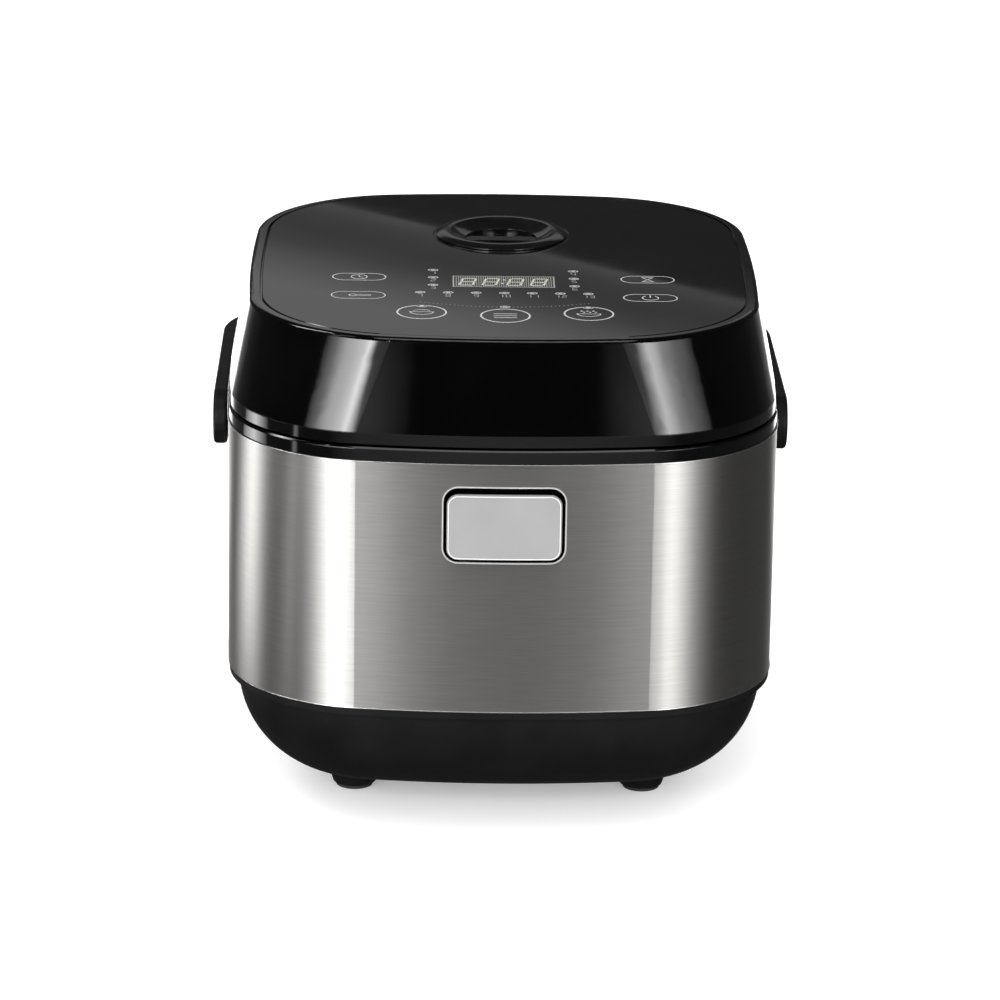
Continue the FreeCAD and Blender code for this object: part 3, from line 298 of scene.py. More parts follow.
def moulded(name, dark, light, rough, grain=None, coat=0.0, gloss=0.5, edge=0.0):
    """Plastic, rubber or paint: two close tones, a roughness that wanders, a grain (scale, depth in mm)."""
    material, tree, shader = new_material(name)
    cloud = noise_of(tree, CLOUD_SCALE, CLOUD_DETAIL)
    tree.links.new(tinted(tree, cloud, dark, light), shader.inputs["Base Color"])
    tree.links.new(ranged(tree, cloud, *rough), shader.inputs["Roughness"])
    if edge:
        softened(tree, shader, edge * MM)
    if grain:
        scale, depth = grain
        bumped(tree, shader, noise_of(tree, scale, GRAIN_DETAIL), GRAIN_STRENGTH, depth * MM)
    shader.inputs["Specular IOR Level"].default_value = gloss
    shader.inputs["Coat Weight"].default_value = coat
    shader.inputs["Coat Roughness"].default_value = COAT_ROUGHNESS
    return material


def metal(name, dark, light, rough, scale, depth=0.0, stretch=EVEN, anisotropy=0.0):
    """Metal with brushed or cast texture; anisotropy stretches its highlights across the brushing."""
    material, tree, shader = new_material(name)
    shader.inputs["Metallic"].default_value = 1.0
    brush = noise_of(tree, scale, BRUSH_DETAIL, stretch)
    tree.links.new(tinted(tree, brush, dark, light), shader.inputs["Base Color"])
    tree.links.new(ranged(tree, brush, *rough), shader.inputs["Roughness"])
    if depth:
        bumped(tree, shader, brush, BRUSH_STRENGTH, depth * MM)
    if anisotropy:
        shader.inputs["Anisotropic"].default_value = anisotropy
        shader.inputs["Anisotropic Rotation"].default_value = BRUSH_TURN
        tangent = add_node(tree, "ShaderNodeTangent", direction_type="RADIAL", axis="Z")
        tree.links.new(tangent.outputs["Tangent"], shader.inputs["Tangent"])
    return material


def paint_and_gap_shade(material, edge_y, bare_shade):
    """Limits a paint to what lies in front of one depth; the moulding behind it is unpainted, near black and
    without reflection, which paints the shade in the gap round the button.
    """
    tree = material.node_tree
    shader = tree.nodes["Principled BSDF"]
    paint = shader.inputs["Base Color"].links[0].from_socket
    behind = ranged(tree, place_of(tree)["Y"], 0.0, 1.0, (edge_y, edge_y + PAINT_FADE * MM))
    mix = add_node(tree, "ShaderNodeMix", data_type="RGBA")
    tree.links.new(behind, mix.inputs["Factor"])
    tree.links.new(paint, mix.inputs["A"])
    mix.inputs["B"].default_value = (*bare_shade, 1)
    tree.links.new(mix.outputs["Result"], shader.inputs["Base Color"])
    # No reflection behind the paint either, so the gap round the button is painted black as shade.
    gloss = shader.inputs["Specular IOR Level"]
    tree.links.new(ranged(tree, behind, gloss.default_value, 0.0, (0.0, 1.0)), gloss)


# Materials of the record's slots

materials = {
    "jacket_steel": metal("brushed_jacket", (0.54, 0.53, 0.515), (0.61, 0.60, 0.585), (0.41, 0.45), 260.0,
                          stretch=BRUSH_STRETCH, anisotropy=0.9),
    "gloss_black": moulded("gloss_black", grey(0.0006), grey(0.001), (0.06, 0.1), coat=0.2, edge=0.5),
    "matte_black": moulded("matte_black", grey(0.0035), grey(0.0055), (0.46, 0.58), (2600.0, 0.03),
                           gloss=0.18, edge=0.6),
    "panel_glass": moulded("panel_glass", grey(0.0022), grey(0.0034), (0.02, 0.04)),
    "silver_button": moulded("silver_paint", grey(0.212), grey(0.235), (0.4, 0.46), (2400.0, 0.012)),
    "rubber_black": moulded("rubber_black", grey(0.014), grey(0.022), (0.7, 0.85), (1400.0, 0.05)),
    "silicone": moulded("silicone", grey(0.42, 0.02), grey(0.5, 0.02), (0.45, 0.6), (900.0, 0.02)),
    "pot_coating": moulded("pot_coating", grey(0.02), grey(0.035), (0.3, 0.42), (3000.0, 0.02)),
    "cast_aluminium": metal("cast_aluminium", grey(0.48), grey(0.6), (0.38, 0.55), 700.0, 0.06),
    "sheet_aluminium": metal("sheet_aluminium", grey(0.68), grey(0.72), (0.28, 0.33), 60.0),
    "zinc_steel": metal("zinc_steel", grey(0.46), grey(0.56), (0.3, 0.42), 220.0, 0.01),
    "pin_steel": metal("pin_steel", grey(0.6), grey(0.68), (0.16, 0.24), 800.0, 0.004),
    "screw_steel": metal("screw_steel", grey(0.42), grey(0.52), (0.26, 0.38), 1200.0, 0.01),
    "contact_brass": metal("contact_brass", (0.6, 0.46, 0.22), (0.7, 0.56, 0.3), (0.2, 0.3), 900.0, 0.004),
    "inner_plastic": moulded("inner_plastic", grey(0.02), grey(0.03), (0.4, 0.5), (1800.0, 0.02)),
    "liner_plastic": moulded("liner_plastic", grey(0.3), grey(0.34), (0.4, 0.5), (1600.0, 0.02)),
    "board_laminate": moulded("board_laminate", (0.012, 0.09, 0.03), (0.02, 0.13, 0.045), (0.3, 0.42),
                              (700.0, 0.01)),
    "part_plastic": moulded("part_plastic", grey(0.03), grey(0.05), (0.35, 0.5), (1200.0, 0.02)),
    "terminal_plastic": moulded("terminal_plastic", (0.5, 0.47, 0.36), (0.58, 0.55, 0.44), (0.4, 0.5),
                                (1200.0, 0.02)),
    "wire_cover": moulded("wire_cover", grey(0.46), grey(0.56), (0.6, 0.75), (1500.0, 0.05)),
    "display_diffuser": moulded("display_diffuser", grey(0.06), grey(0.09), (0.4, 0.5), (1200.0, 0.01)),
    "lamp_plastic": moulded("lamp_plastic", grey(0.5), grey(0.6), (0.15, 0.25)),
}
# Silver paint on the button's face; the near-black, unreflecting moulding behind it paints the shade in the
# gap round the button.
paint_and_gap_shade(materials["silver_button"], button_front + PAINT_DEPTH * MM, grey(BARE_SHADE_TONE))

# Materials of the steam cap, the bright edges, the painted highlights round the button and the prints

satin_black = moulded("satin_black", grey(0.003), grey(0.005), (0.1, 0.14), edge=0.5)
# Silver rim of the opening, whose pale even tone is also a painted highlight, and a pale tone that paints
# the highlight on the button's edge
silver_rim_and_highlight = moulded("silver_rim_and_highlight", grey(0.3), grey(0.36), (0.4, 0.5))
painted_button_highlight = moulded("painted_button_highlight", grey(0.6), grey(0.68), (0.3, 0.4))
bright_edge = metal("bright_edge", grey(0.78), grey(0.86), (0.18, 0.26), 600.0)
print_white = moulded("print_white", grey(0.40), grey(0.47), (0.05, 0.08))
print_grey = moulded("print_grey", grey(0.22), grey(0.27), (0.05, 0.08))
window_dark = moulded("window_dark", (0.02, 0.02, 0.018), (0.03, 0.03, 0.026), (0.05, 0.09))
segment_light = moulded("segment_light", (0.4, 0.4, 0.35), (0.46, 0.46, 0.4), (0.05, 0.08))
mark_light = moulded("mark_light", grey(0.42), grey(0.5), (0.35, 0.45))


def dress_cad():
    """Gives every CAD node the material of its slot, and the steam cap a satin one."""
    for part in frame["record"]["subparts"]:
        slots = nodes[part["node"]].data.materials
        slots.clear()
        slots.append(satin_black if part["node"] == "vent_cap" else materials[part["material_slot"]])


# Outlines

def arc(cx, cy, rx, ry, from_deg, to_deg, count=24):
    span = [math.radians(from_deg + (to_deg - from_deg) * k / (count - 1)) for k in range(count)]
    return [(cx + rx * math.cos(t), cy + ry * math.sin(t)) for t in span]


def oval(cx, cy, rx, ry, count=48):
    return arc(cx, cy, rx, ry, 0, 360 * (1 - 1 / count), count)


def pill(cx, cy, w, h):
    reach, r = w / 2 - h / 2, h / 2
    return arc(cx + reach, cy, r, r, -90, 90, 16) + arc(cx - reach, cy, r, r, 90, 270, 16)


def box_points(cx, cy, w, h):
    corners = ((-1, -1), (1, -1), (1, 1), (-1, 1))
    return [(cx + sx * w / 2, cy + sy * h / 2) for sx, sy in corners]


def rounded_box(cx, cy, w, h, r, count=9):
    """Points round a box with round corners."""
    corners = ((1, 1, 0), (-1, 1, 90), (-1, -1, 180), (1, -1, 270))
    return [point for sx, sy, turn in corners
            for point in arc(cx + sx * (w / 2 - r), cy + sy * (h / 2 - r), r, r, turn, turn + 90, count)]


# Making pieces

def finish_piece(name, data, material, body):
    """Puts a mesh or curve into the scene as a piece of one body."""
    data.materials.append(material)
    piece = bpy.data.objects.new(name, data)
    bpy.context.scene.collection.objects.link(piece)
    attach(piece, body)


def mesh_of(name, bm):
    mesh = bpy.data.meshes.new(name)
    bm.to_mesh(mesh)
    bm.free()
    return mesh


def thick_face(bm, low_points, rise):
    """A closed slab between a ring of points and the same ring moved along rise."""
    low = [bm.verts.new(p) for p in low_points]
    high = [bm.verts.new(Vector(p) + rise) for p in low_points]
    count = len(low)
    bm.faces.new(list(reversed(low)))
    bm.faces.new(high)
    for k in range(count):
        bm.faces.new((low[k], low[(k + 1) % count], high[(k + 1) % count], high[k]))


def bead(name, points, radius, material, body):
    """A round bead along a closed line."""
    curve = bpy.data.curves.new(name, "CURVE")
    curve.dimensions = "3D"
    curve.bevel_depth = radius
    curve.bevel_resolution = BEAD_RESOLUTION
    spline = curve.splines.new("POLY")
    spline.points.add(len(points) - 1)
    for target, point in zip(spline.points, points):
        target.co = (*point, 1)
    spline.use_cyclic_u = True
    finish_piece(name, curve, material, body)


def on_panel(x, y):
    """A point of a print on the panel, from millimetres."""
    return Vector((x * MM, y * MM, panel_top + PRINT_LIFT * MM))


class Sheet:
    """A print: strokes and filled shapes in millimetres, laid on a surface and given a little thickness."""

    def __init__(self, place=on_panel, thickness=PRINT_T, outward=(0, 0, 1)):
        self.bm = bmesh.new()
        self.place = place
        self.rise = Vector(outward) * (thickness * MM)

    def fill(self, points):
        thick_face(self.bm, [self.place(x, y) for x, y in points], self.rise)

    def stroke(self, points, width, closed=False):
        """A line of even width through the points, mitred at each."""
        count = len(points)
        left, right = [], []
        for k in range(count):
            before = points[k - 1] if closed or k else points[k]
            after = points[(k + 1) % count] if closed or k < count - 1 else points[k]
            into = Vector((points[k][0] - before[0], points[k][1] - before[1]))
            out = Vector((after[0] - points[k][0], after[1] - points[k][1]))
            into = into.normalized() if into.length else out.normalized()
            out = out.normalized() if out.length else into
            middle = (into + out).normalized()
            side = Vector((-middle.y, middle.x)) * (width / 2 / max(MITRE_LIMIT, middle.dot(into)))
            left.append((points[k][0] + side.x, points[k][1] + side.y))
            right.append((points[k][0] - side.x, points[k][1] - side.y))
        self.ribbon(left, right, closed)

    def ribbon(self, left, right, closed):
        """A closed strip between two rows of points."""
        rings = [[self.bm.verts.new(self.place(*p) + lift) for p in row]
                 for row in (left, right) for lift in (Vector(), self.rise)]
        left_low, left_high, right_low, right_high = rings
        count = len(left)
        for k in range(count if closed else count - 1):
            n = (k + 1) % count
            self.bm.faces.new((left_high[k], right_high[k], right_high[n], left_high[n]))
            self.bm.faces.new((left_low[n], right_low[n], right_low[k], left_low[k]))
            self.bm.faces.new((left_low[k], left_high[k], left_high[n], left_low[n]))
            self.bm.faces.new((right_low[n], right_high[n], right_high[k], right_low[k]))
        if not closed:
            for k, turn in ((0, 1), (count - 1, -1)):
                ends = (left_low[k], right_low[k], right_high[k], left_high[k])
                self.bm.faces.new(ends[::turn])

    def done(self, name, material, body="lid"):
        bmesh.ops.recalc_face_normals(self.bm, faces=self.bm.faces)
        finish_piece(name, mesh_of(name, self.bm), material, body)


# Numbers

SEGMENTS = {"0": "abcdef", "1": "bc", "2": "abged", "3": "abgcd", "4": "fgbc", "5": "afgcd", "6": "afgedc",
            "7": "abc", "8": "abcdefg", "9": "abcdfg"}


def seven_segment(sheet, digit, cx, cy, size, line, lean=0.0, gap=0.0):
    """One digit of straight strokes."""
    right, high = size[0] / 2, size[1] / 2
    left, low = -right, -high
    runs = {"a": ((left, high), (right, high)), "b": ((right, high), (right, 0)),
            "c": ((right, 0), (right, low)), "d": ((left, low), (right, low)),
            "e": ((left, 0), (left, low)), "f": ((left, high), (left, 0)),
            "g": ((left, 0), (right, 0))}
    for name in SEGMENTS[digit]:
        start, end = (Vector(p) for p in runs[name])
        along = (end - start).normalized() * gap
        ends = [start + along, end - along]
        sheet.stroke([(cx + p.x + lean * p.y, cy + p.y) for p in ends], line)


# Icons on the keys, each drawn in shares of its radius

def icon_bowl(sheet, cx, cy, r):
    sheet.stroke(arc(cx, cy + r * 0.1, r, r * 0.85, 180, 360), LINE_W, True)
    sheet.stroke(arc(cx, cy + r * 0.25, r * 0.75, r * 0.5, 20, 160, 14), LINE_W)


def icon_lines(sheet, cx, cy, r):
    for k in (-1, 0, 1):
        sheet.stroke([(cx - r, cy + k * r * 0.6), (cx + r, cy + k * r * 0.6)], LINE_W * 1.2)


def icon_steam(sheet, cx, cy, r):
    sheet.stroke(arc(cx, cy - r * 0.05, r, r * 0.8, 180, 360), LINE_W, True)
    steps = [j / 8 for j in range(9)]
    for k in (-1, 0, 1):
        wave = [(cx + k * r * 0.5 + 0.18 * r * math.sin(6.3 * t), cy + r * (0.25 + 0.75 * t)) for t in steps]
        sheet.stroke(wave, THIN_LINE_W)


def icon_clock(sheet, cx, cy, r):
    sheet.stroke(oval(cx, cy, r, r, 28), LINE_W, True)
    sheet.stroke([(cx, cy + r * 0.6), (cx, cy), (cx + r * 0.5, cy - r * 0.2)], LINE_W)


def icon_thermometer(sheet, cx, cy, r):
    sheet.stroke(oval(cx - r * 0.7, cy, r * 0.45, r * 0.45, 18), LINE_W, True)
    sheet.stroke(pill(cx + r * 0.6, cy, r * 1.9, r * 0.45), THIN_LINE_W, True)


def icon_hourglass(sheet, cx, cy, r):
    corners = ((-0.7, 1), (0.7, 1), (-0.7, -1), (0.7, -1))
    sheet.stroke([(cx + sx * r, cy + sy * r) for sx, sy in corners], LINE_W, True)


def icon_power(sheet, cx, cy, r):
    sheet.stroke(arc(cx, cy, r, r, 125, 415, 26), LINE_W)
    sheet.stroke([(cx, cy + r * 0.2), (cx, cy + r * 1.15)], LINE_W)


# Prints on the panel

numbered_spots = [(side * LAMP_COLUMN_X, y) for side in (-1, 1) for y in LAMP_COLUMN_Y]
numbered_spots += [(k * LAMP_ROW_PITCH, LAMP_ROW_Y) for k in range(-LAMP_ROW_SIDE, LAMP_ROW_SIDE + 1)]


def panel_keys():
    """Three round keys at the front and two long ones at each side."""
    sheet = Sheet()
    for (x, y), icon in zip(KEY_SPOTS, (icon_bowl, icon_lines, icon_steam)):
        sheet.stroke(oval(x, y, KEY_R, KEY_R), KEY_LINE_W, True)
        icon(sheet, x, y, KEY_ICON_R)
    for (x, y), icon in zip(PILL_SPOTS, (icon_clock, icon_thermometer, icon_hourglass, icon_power)):
        sheet.stroke(pill(x, y, *PILL_SIZE), LINE_W, True)
        icon(sheet, x, y, PILL_ICON_R)
    sheet.done("panel_keys", print_white)


def panel_lamps():
    """A ring and a core for each lamp beside and below the display and behind the round keys."""
    sheet = Sheet()
    for x, y in numbered_spots + [(x, KEY_LAMP_Y) for x, _ in KEY_SPOTS]:
        sheet.stroke(oval(x, y, *LAMP_SIZE, 24), LINE_W, True)
        sheet.fill(oval(x, y, *LAMP_CORE, 16))
    sheet.done("panel_lamps", print_white)


def panel_labels():
    """Plain numbers under the lamps, and a bow of dots over the round keys."""
    sheet = Sheet()
    for k, (x, y) in enumerate(numbered_spots):
        text = str(k + 1)
        for j, digit in enumerate(text):
            middle = x + (j - (len(text) - 1) / 2) * LABEL_PITCH
            seven_segment(sheet, digit, middle, y - LABEL_DROP, LABEL_SIZE, LABEL_LINE_W)
    for k in range(DOT_COUNT):
        turn = (k / (DOT_COUNT - 1) - 0.5) * 2
        sheet.fill(oval(DOT_REACH * turn, DOT_Y + DOT_BOW * turn * turn, DOT_R, DOT_R, 8))
    sheet.done("panel_labels", print_grey)


def display():
    """A dark window, a frame with fine upright lines, and four digits with a colon."""
    cx, cy = WINDOW_SPOT
    window = Sheet(thickness=WINDOW_T)
    window.fill(box_points(cx, cy, *WINDOW_SIZE))
    window.done("display_window", window_dark)

    hatch = Sheet(thickness=HATCH_T)
    hatch.stroke(box_points(cx, cy, *(side - WINDOW_FRAME_IN for side in WINDOW_SIZE)), WINDOW_FRAME_W, True)
    width, height = (side - inset for side, inset in zip(WINDOW_SIZE, HATCH_IN))
    for k in range(1, HATCH_LINES):
        x = cx + (k / HATCH_LINES - 0.5) * width
        hatch.stroke([(x, cy - height / 2), (x, cy + height / 2)], HATCH_LINE_W)
    hatch.done("display_hatch", print_grey)

    digits = Sheet()
    for x in DIGIT_X:
        seven_segment(digits, "8", x, cy - DIGIT_DROP, DIGIT_SIZE, DIGIT_LINE_W, DIGIT_LEAN, DIGIT_GAP)
    for y in (-COLON_Y, COLON_Y):
        digits.fill(oval(cx + COLON_X + DIGIT_LEAN * y, cy + y, COLON_R, COLON_R, 12))
    digits.done("display_digits", segment_light)


# Bright edges of the steel, and painted highlights round the button

def outline_of(node, z):
    """The outer outline of a node at one height, sorted round the vertical axis."""
    mesh = nodes[node].data
    ring = {}
    for face in mesh.polygons:
        if abs(face.normal.z) > WALL_TILT or face.normal.xy.dot(face.center.xy) <= 0:
            continue
        for index in face.vertices:
            spot = mesh.vertices[index].co
            if abs(spot.z - z) < LEVEL_SLACK * MM:
                ring[round(math.atan2(spot.y, spot.x), ANGLE_DIGITS)] = spot.copy()
    return [ring[key] for key in sorted(ring)]


def jacket_edges():
    """The rolled upper and lower edges of the steel sleeve."""
    for name, z in (("jacket_edge_top", jacket_high.z), ("jacket_edge_low", jacket_low.z)):
        line = outline_of("outer_jacket", z)
        bead(name, line, BEAD_R * MM, bright_edge, "cooker_body")


def laid_on(node, flat):
    """A closed line of a front view, in millimetres, moved back onto a node's bowed front."""
    mesh = nodes[node].data
    corners = [v.co for v in mesh.vertices]
    surface = BVHTree.FromPolygons(corners, [tuple(f.vertices) for f in mesh.polygons])
    far = jacket_low.y * 2
    laid = []
    for start, end in zip(flat, flat[1:] + flat[:1]):
        start, end = Vector(start), Vector(end)
        count = math.ceil((end - start).length / BEAD_STEP)
        for k in range(count):
            x, z = start.lerp(end, k / count) * MM
            laid.append(surface.ray_cast(Vector((x, far, z)), Vector((0, 1, 0)))[0])
    return laid


def button_edges():
    """A silver rolled edge round the opening in the bowed steel, whose pale tone also paints the highlight
    along it, and a pale bead round the button's face that paints the highlight of its rounded edge.
    """
    width, height = (size + 2 * RIM_BEAD_R for size in OPENING_SIZE)
    flat = rounded_box(0, OPENING_Z, width, height, OPENING_CORNER_R + RIM_BEAD_R)
    line = laid_on("outer_jacket", flat)
    # The rim's pale even tone paints the highlight along the opening's edge.
    bead("button_rim", line, RIM_BEAD_R * MM, silver_rim_and_highlight, "cooker_body")

    # A pale bead just inside the button's outline: a painted highlight of its rounded edge.
    width, height = (size - 2 * BUTTON_EDGE_IN for size in BUTTON_SIZE)
    flat = rounded_box(0, BUTTON_Z, width, height, BUTTON_CORNER_R - BUTTON_EDGE_IN)
    line = laid_on("latch_button", flat)
    bead("button_edge", line, BUTTON_BEAD_R * MM, painted_button_highlight, "button")


# Steam vent

def vent_details():
    """A thin ring on the glass round the cap, and the bar by which the cap is pulled out."""
    ring = oval(0, VENT_Y, VENT_RING_R, VENT_RING_R, VENT_RING_POINTS)
    line = [Vector((x * MM, y * MM, panel_top)) for x, y in ring]
    bead("vent_ring", line, VENT_BEAD_R * MM, materials["gloss_black"], "lid")

    foot_z = panel_top - VENT_BAR_FOOT * MM
    outline = rounded_box(0, VENT_Y, *VENT_BAR_SIZE, VENT_BAR_CORNER_R)
    bm = bmesh.new()
    thick_face(bm, [(x * MM, y * MM, foot_z) for x, y in outline], Vector((0, 0, VENT_BAR_H * MM)))
    top = [edge for edge in bm.edges if all(v.co.z > foot_z for v in edge.verts)]
    bmesh.ops.bevel(bm, geom=top, offset=VENT_BAR_ROUND * MM, segments=VENT_BAR_SEGMENTS,
                    affect="EDGES", profile=0.5)
    finish_piece("vent_bar", mesh_of("vent_bar", bm), satin_black, "steam_cap")


# Marks inside the pot

def pot_marks():
    """Level lines with plain numbers on the back of the pot's inner wall."""
    rim_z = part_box("inner_pot")[1].z
    points = [v.co for v in nodes["inner_pot"].data.vertices]
    wall = [p.xy.length for p in points if 0 < rim_z - p.z < POT_RIM_BAND * MM]
    radius = min(wall) - POT_MARK_LIFT * MM

    def on_wall(x, z):
        turn = x * MM / radius
        return Vector((radius * math.sin(turn), radius * math.cos(turn), z * MM))

    sheet = Sheet(on_wall, outward=(0, -1, 0))
    for k in range(POT_MARKS):
        z = POT_MARK_Z + k * POT_MARK_STEP
        sheet.stroke([(-POT_MARK_W / 2, z), (0, z), (POT_MARK_W / 2, z)], POT_LINE_W)
        seven_segment(sheet, str(k + 1), POT_MARK_W, z, POT_NUMBER_SIZE, POT_LINE_W)
    sheet.done("pot_marks", mark_light, "cooker_body")


# Studio

def floor():
    """A pale floor that gloss doesn't mirror."""
    bpy.ops.mesh.primitive_plane_add(size=FLOOR_SIZE, location=(0, 0, -FLOOR_DROP))
    plane = bpy.context.object
    plane.name = "studio_floor"
    material, tree, shader = new_material("pale_floor")
    cloud = noise_of(tree, *FLOOR_CLOUD)
    tree.links.new(tinted(tree, cloud, *map(grey, FLOOR_TONES)), shader.inputs["Base Color"])
    shader.inputs["Roughness"].default_value = FLOOR_ROUGHNESS
    shader.inputs["Specular IOR Level"].default_value = FLOOR_GLOSS
    shader.inputs["Emission Color"].default_value = (1, 1, 1, 1)
    shader.inputs["Emission Strength"].default_value = FLOOR_GLOW
    plane.data.materials.append(material)
    plane.visible_glossy = False


def studio_world():
    """White to the eye and even light on matte surfaces; in reflections a dark room over a grey ground."""
    world = bpy.data.worlds.new("studio")
    bpy.context.scene.world = world
    world.use_nodes = True
    tree = world.node_tree
    tree.nodes.clear()
    link = tree.links.new

    place = place_of(tree, "Generated")
    depth = add_node(tree, "ShaderNodeMath", operation="ABSOLUTE")
    link(place["Y"], depth.inputs[0])
    below = ranged(tree, place["Z"], 1.0, 0.0, GROUND_EDGE)
    ground = ranged(tree, depth.outputs["Value"], *ROOM_GROUND, GROUND_TURN)
    room = ranged(tree, place["Y"], *ROOM_DARK, (-1.0, 1.0))
    mirrored = add_node(tree, "ShaderNodeMath", operation="MULTIPLY_ADD")
    for socket, source in zip(mirrored.inputs, (below, ground, room)):
        link(source, socket)

    in_gloss, on_matte, to_eye = (add_node(tree, "ShaderNodeBackground") for _ in range(3))
    link(mirrored.outputs["Value"], in_gloss.inputs["Strength"])
    on_matte.inputs["Color"].default_value = (ROOM_LIGHT, ROOM_LIGHT, ROOM_LIGHT, 1)
    to_eye.inputs["Color"].default_value = (1, 1, 1, 1)

    path = add_node(tree, "ShaderNodeLightPath")
    shown = in_gloss.outputs["Background"]
    for ray, other in (("Is Diffuse Ray", on_matte), ("Is Camera Ray", to_eye)):
        mix = add_node(tree, "ShaderNodeMixShader")
        link(path.outputs[ray], mix.inputs["Fac"])
        link(shown, mix.inputs[1])
        link(other.outputs["Background"], mix.inputs[2])
        shown = mix.outputs["Shader"]
    out = add_node(tree, "ShaderNodeOutputWorld")
    link(shown, out.inputs["Surface"])


def facing(azimuth, elevation):
    """A place round the object, its +Z turned away from it. Azimuth 0 is in front, positive to the right."""
    a, e = math.radians(azimuth), math.radians(elevation)
    away = Vector((math.sin(a) * math.cos(e), -math.cos(a) * math.cos(e), math.sin(e)))
    place = Matrix.Translation(away * STAND_OFF + Vector((0, 0, AIM_Z)))
    return place @ away.to_track_quat("Z", "Y").to_matrix().to_4x4()


def softbox(name, azimuth, elevation, width, height, radiance, mirrored=True):
    """A rectangular area light that faces the object."""
    light = bpy.data.lights.new(name, "AREA")
    light.shape = "RECTANGLE"
    light.size = width
    light.size_y = height
    light.energy = radiance * math.pi * width * height
    lamp = bpy.data.objects.new(name, light)
    lamp.matrix_world = facing(azimuth, elevation)
    lamp.visible_camera = False
    lamp.visible_glossy = mirrored
    bpy.context.scene.collection.objects.link(lamp)


def card_glow(name, along, reach, stops):
    """A material that glows by the stops, (share of the way, brightness), along one axis of a card."""
    material, tree, shader = new_material(name)
    level = ranged(tree, place_of(tree)[along], 0.0, 1.0, (-reach, reach))
    ramp = add_node(tree, "ShaderNodeValToRGB")
    elements = ramp.color_ramp.elements
    while len(elements) < len(stops):
        elements.new(0.5)
    peak = max(value for _, value in stops)
    for element, (position, value) in zip(elements, stops):
        element.position = position
        element.color = (*grey(value / peak), 1)
    tree.links.new(level, ramp.inputs["Fac"])
    shader.inputs["Base Color"].default_value = (0, 0, 0, 1)
    shader.inputs["Specular IOR Level"].default_value = 0
    shader.inputs["Emission Strength"].default_value = peak
    tree.links.new(ramp.outputs["Color"], shader.inputs["Emission Color"])
    return material


def light_card(name, place, width, height, stops, along="X", lights_matte=True):
    """A glowing card whose brightness follows the stops; the camera doesn't see it."""
    bm = bmesh.new()
    bm.faces.new([bm.verts.new((x, y, 0)) for x, y in box_points(0, 0, width, height)])
    mesh = mesh_of(name, bm)
    reach = (width if along == "X" else height) / 2
    mesh.materials.append(card_glow(name, along, reach, stops))
    card = bpy.data.objects.new(name, mesh)
    card.matrix_world = place
    card.visible_camera = False
    card.visible_shadow = False
    card.visible_diffuse = lights_matte
    bpy.context.scene.collection.objects.link(card)


def swelling(edge, middle):
    """Brightness that rises from both edges to the middle."""
    return ((0.0, edge), (0.5, middle), (1.0, edge))


def upright_card(name, azimuth, elevation, width, height, stops):
    """A card that stands round the object and faces it."""
    light_card(name, facing(azimuth, elevation), width, height, stops)


def lying_card(name, azimuth, width, stops):
    """A card on the floor that points away from the object and shows only in reflections."""
    turn = Matrix.Rotation(math.radians(azimuth + 180), 4, "Z")
    place = turn @ Matrix.Translation((0, LYING_NEAR, LYING_LIFT))
    light_card(name, place, width, LYING_LENGTH, stops, lights_matte=False)


def panel_card():
    """A card behind the object whose lower edge the panel mirrors as a slanting line."""
    start, end = (Vector((x, PANEL_CARD_Y, z)) for x, z in PANEL_CARD_EDGE)
    along = (end - start).normalized()
    over = Vector((0, -1, 0)).cross(along)
    middle = (start + end) / 2 + over * (PANEL_CARD_SIZE[1] / 2)
    axes = Matrix((along, over, along.cross(over))).transposed().to_4x4()
    place = Matrix.Translation(middle) @ axes
    light_card("panel_card", place, *PANEL_CARD_SIZE, PANEL_CARD_STOPS, "Y")


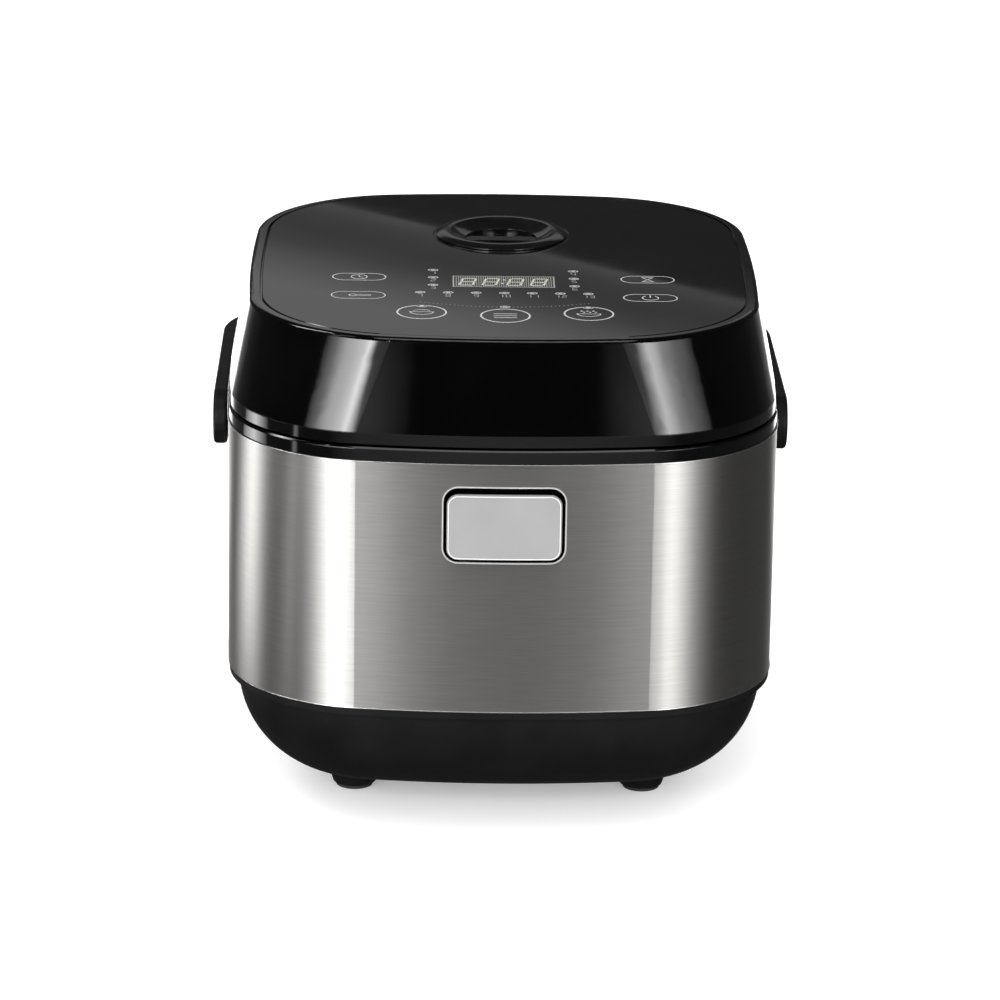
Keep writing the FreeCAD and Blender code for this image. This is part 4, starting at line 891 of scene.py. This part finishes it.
def studio_lights():
    """Cards that make the bright bands on the steel and the lid, and soft light from above and behind."""
    upright_card("left_card", azimuth=-26.5, elevation=14, width=1.2, height=1.3,
                 stops=((0.0, 7.0), (0.2, 8.5), (0.38, 11.0), (0.5, 16.0),
                        (0.59, 9.0), (0.67, 0.9), (1.0, 0.05)))
    upright_card("right_card", azimuth=31, elevation=14, width=1.4, height=1.3,
                 stops=((0.0, 0.05), (0.27, 0.8), (0.38, 5.0), (0.5, 10.0),
                        (0.62, 8.0), (0.78, 4.5), (1.0, 2.5)))
    upright_card("left_corner", azimuth=-49.6, elevation=18, width=0.6, height=0.9,
                 stops=((0.0, 0.3), (0.5, 2.5), (1.0, 7.0)))
    upright_card("right_corner", azimuth=56.4, elevation=18, width=0.6, height=0.9,
                 stops=((0.0, 2.5), (0.5, 1.5), (1.0, 0.3)))
    lying_card("left_strip", azimuth=-99, width=0.35, stops=swelling(0.5, 6.0))
    upright_card("left_high", azimuth=-99, elevation=50, width=0.5, height=0.9, stops=swelling(1.0, 12.0))
    lying_card("thin_strip", azimuth=-61, width=0.06, stops=swelling(0.5, 2.5))
    upright_card("thin_high", azimuth=-61, elevation=50, width=0.1, height=0.9, stops=swelling(1.0, 6.0))
    for side in (-1, 1):
        lying_card("back_card", azimuth=side * 160, width=0.5, stops=swelling(0.3, 5.0))
    panel_card()
    softbox("top_box", azimuth=0, elevation=75, width=1.2, height=1.0, radiance=2.0)
    for side in (-1, 1):
        softbox("back_box", azimuth=side * 140, elevation=35, width=1.2, height=1.2, radiance=3.0,
                mirrored=False)


def camera():
    """The photograph's camera: raised over the front, rolled, and turned round the object."""
    data = bpy.data.cameras.new("camera")
    data.lens = CAM_LENS
    data.sensor_width = CAM_SENSOR
    data.shift_x, data.shift_y = CAM_SHIFT
    data.clip_end = CAM_REACH
    eye = bpy.data.objects.new("camera", data)
    bpy.context.scene.collection.objects.link(eye)
    raised, roll, turn = (math.radians(v) for v in (CAM_ELEVATION, CAM_ROLL, CAM_TURN))
    right = Vector((1, 0, 0))
    forward = Vector((0, math.cos(raised), -math.sin(raised)))
    up = Vector((0, math.sin(raised), math.cos(raised)))
    across = right * math.cos(roll) + up * math.sin(roll)
    over = up * math.cos(roll) - right * math.sin(roll)
    axes = Matrix((across, over, -forward)).transposed().to_4x4()
    place = Matrix.Translation(-forward * CAM_DISTANCE + Vector((0, 0, CAM_TARGET_Z)))
    round_object = Matrix.Translation((-CAM_TARGET_X, 0, 0)) @ Matrix.Rotation(-turn, 4, "Z")
    eye.matrix_world = round_object @ place @ axes
    bpy.context.scene.camera = eye


dress_cad()
panel_keys()
panel_lamps()
panel_labels()
display()
jacket_edges()
button_edges()
vent_details()
pot_marks()
floor()
studio_world()
studio_lights()
camera()
bpy.context.scene.view_settings.view_transform = "Standard"
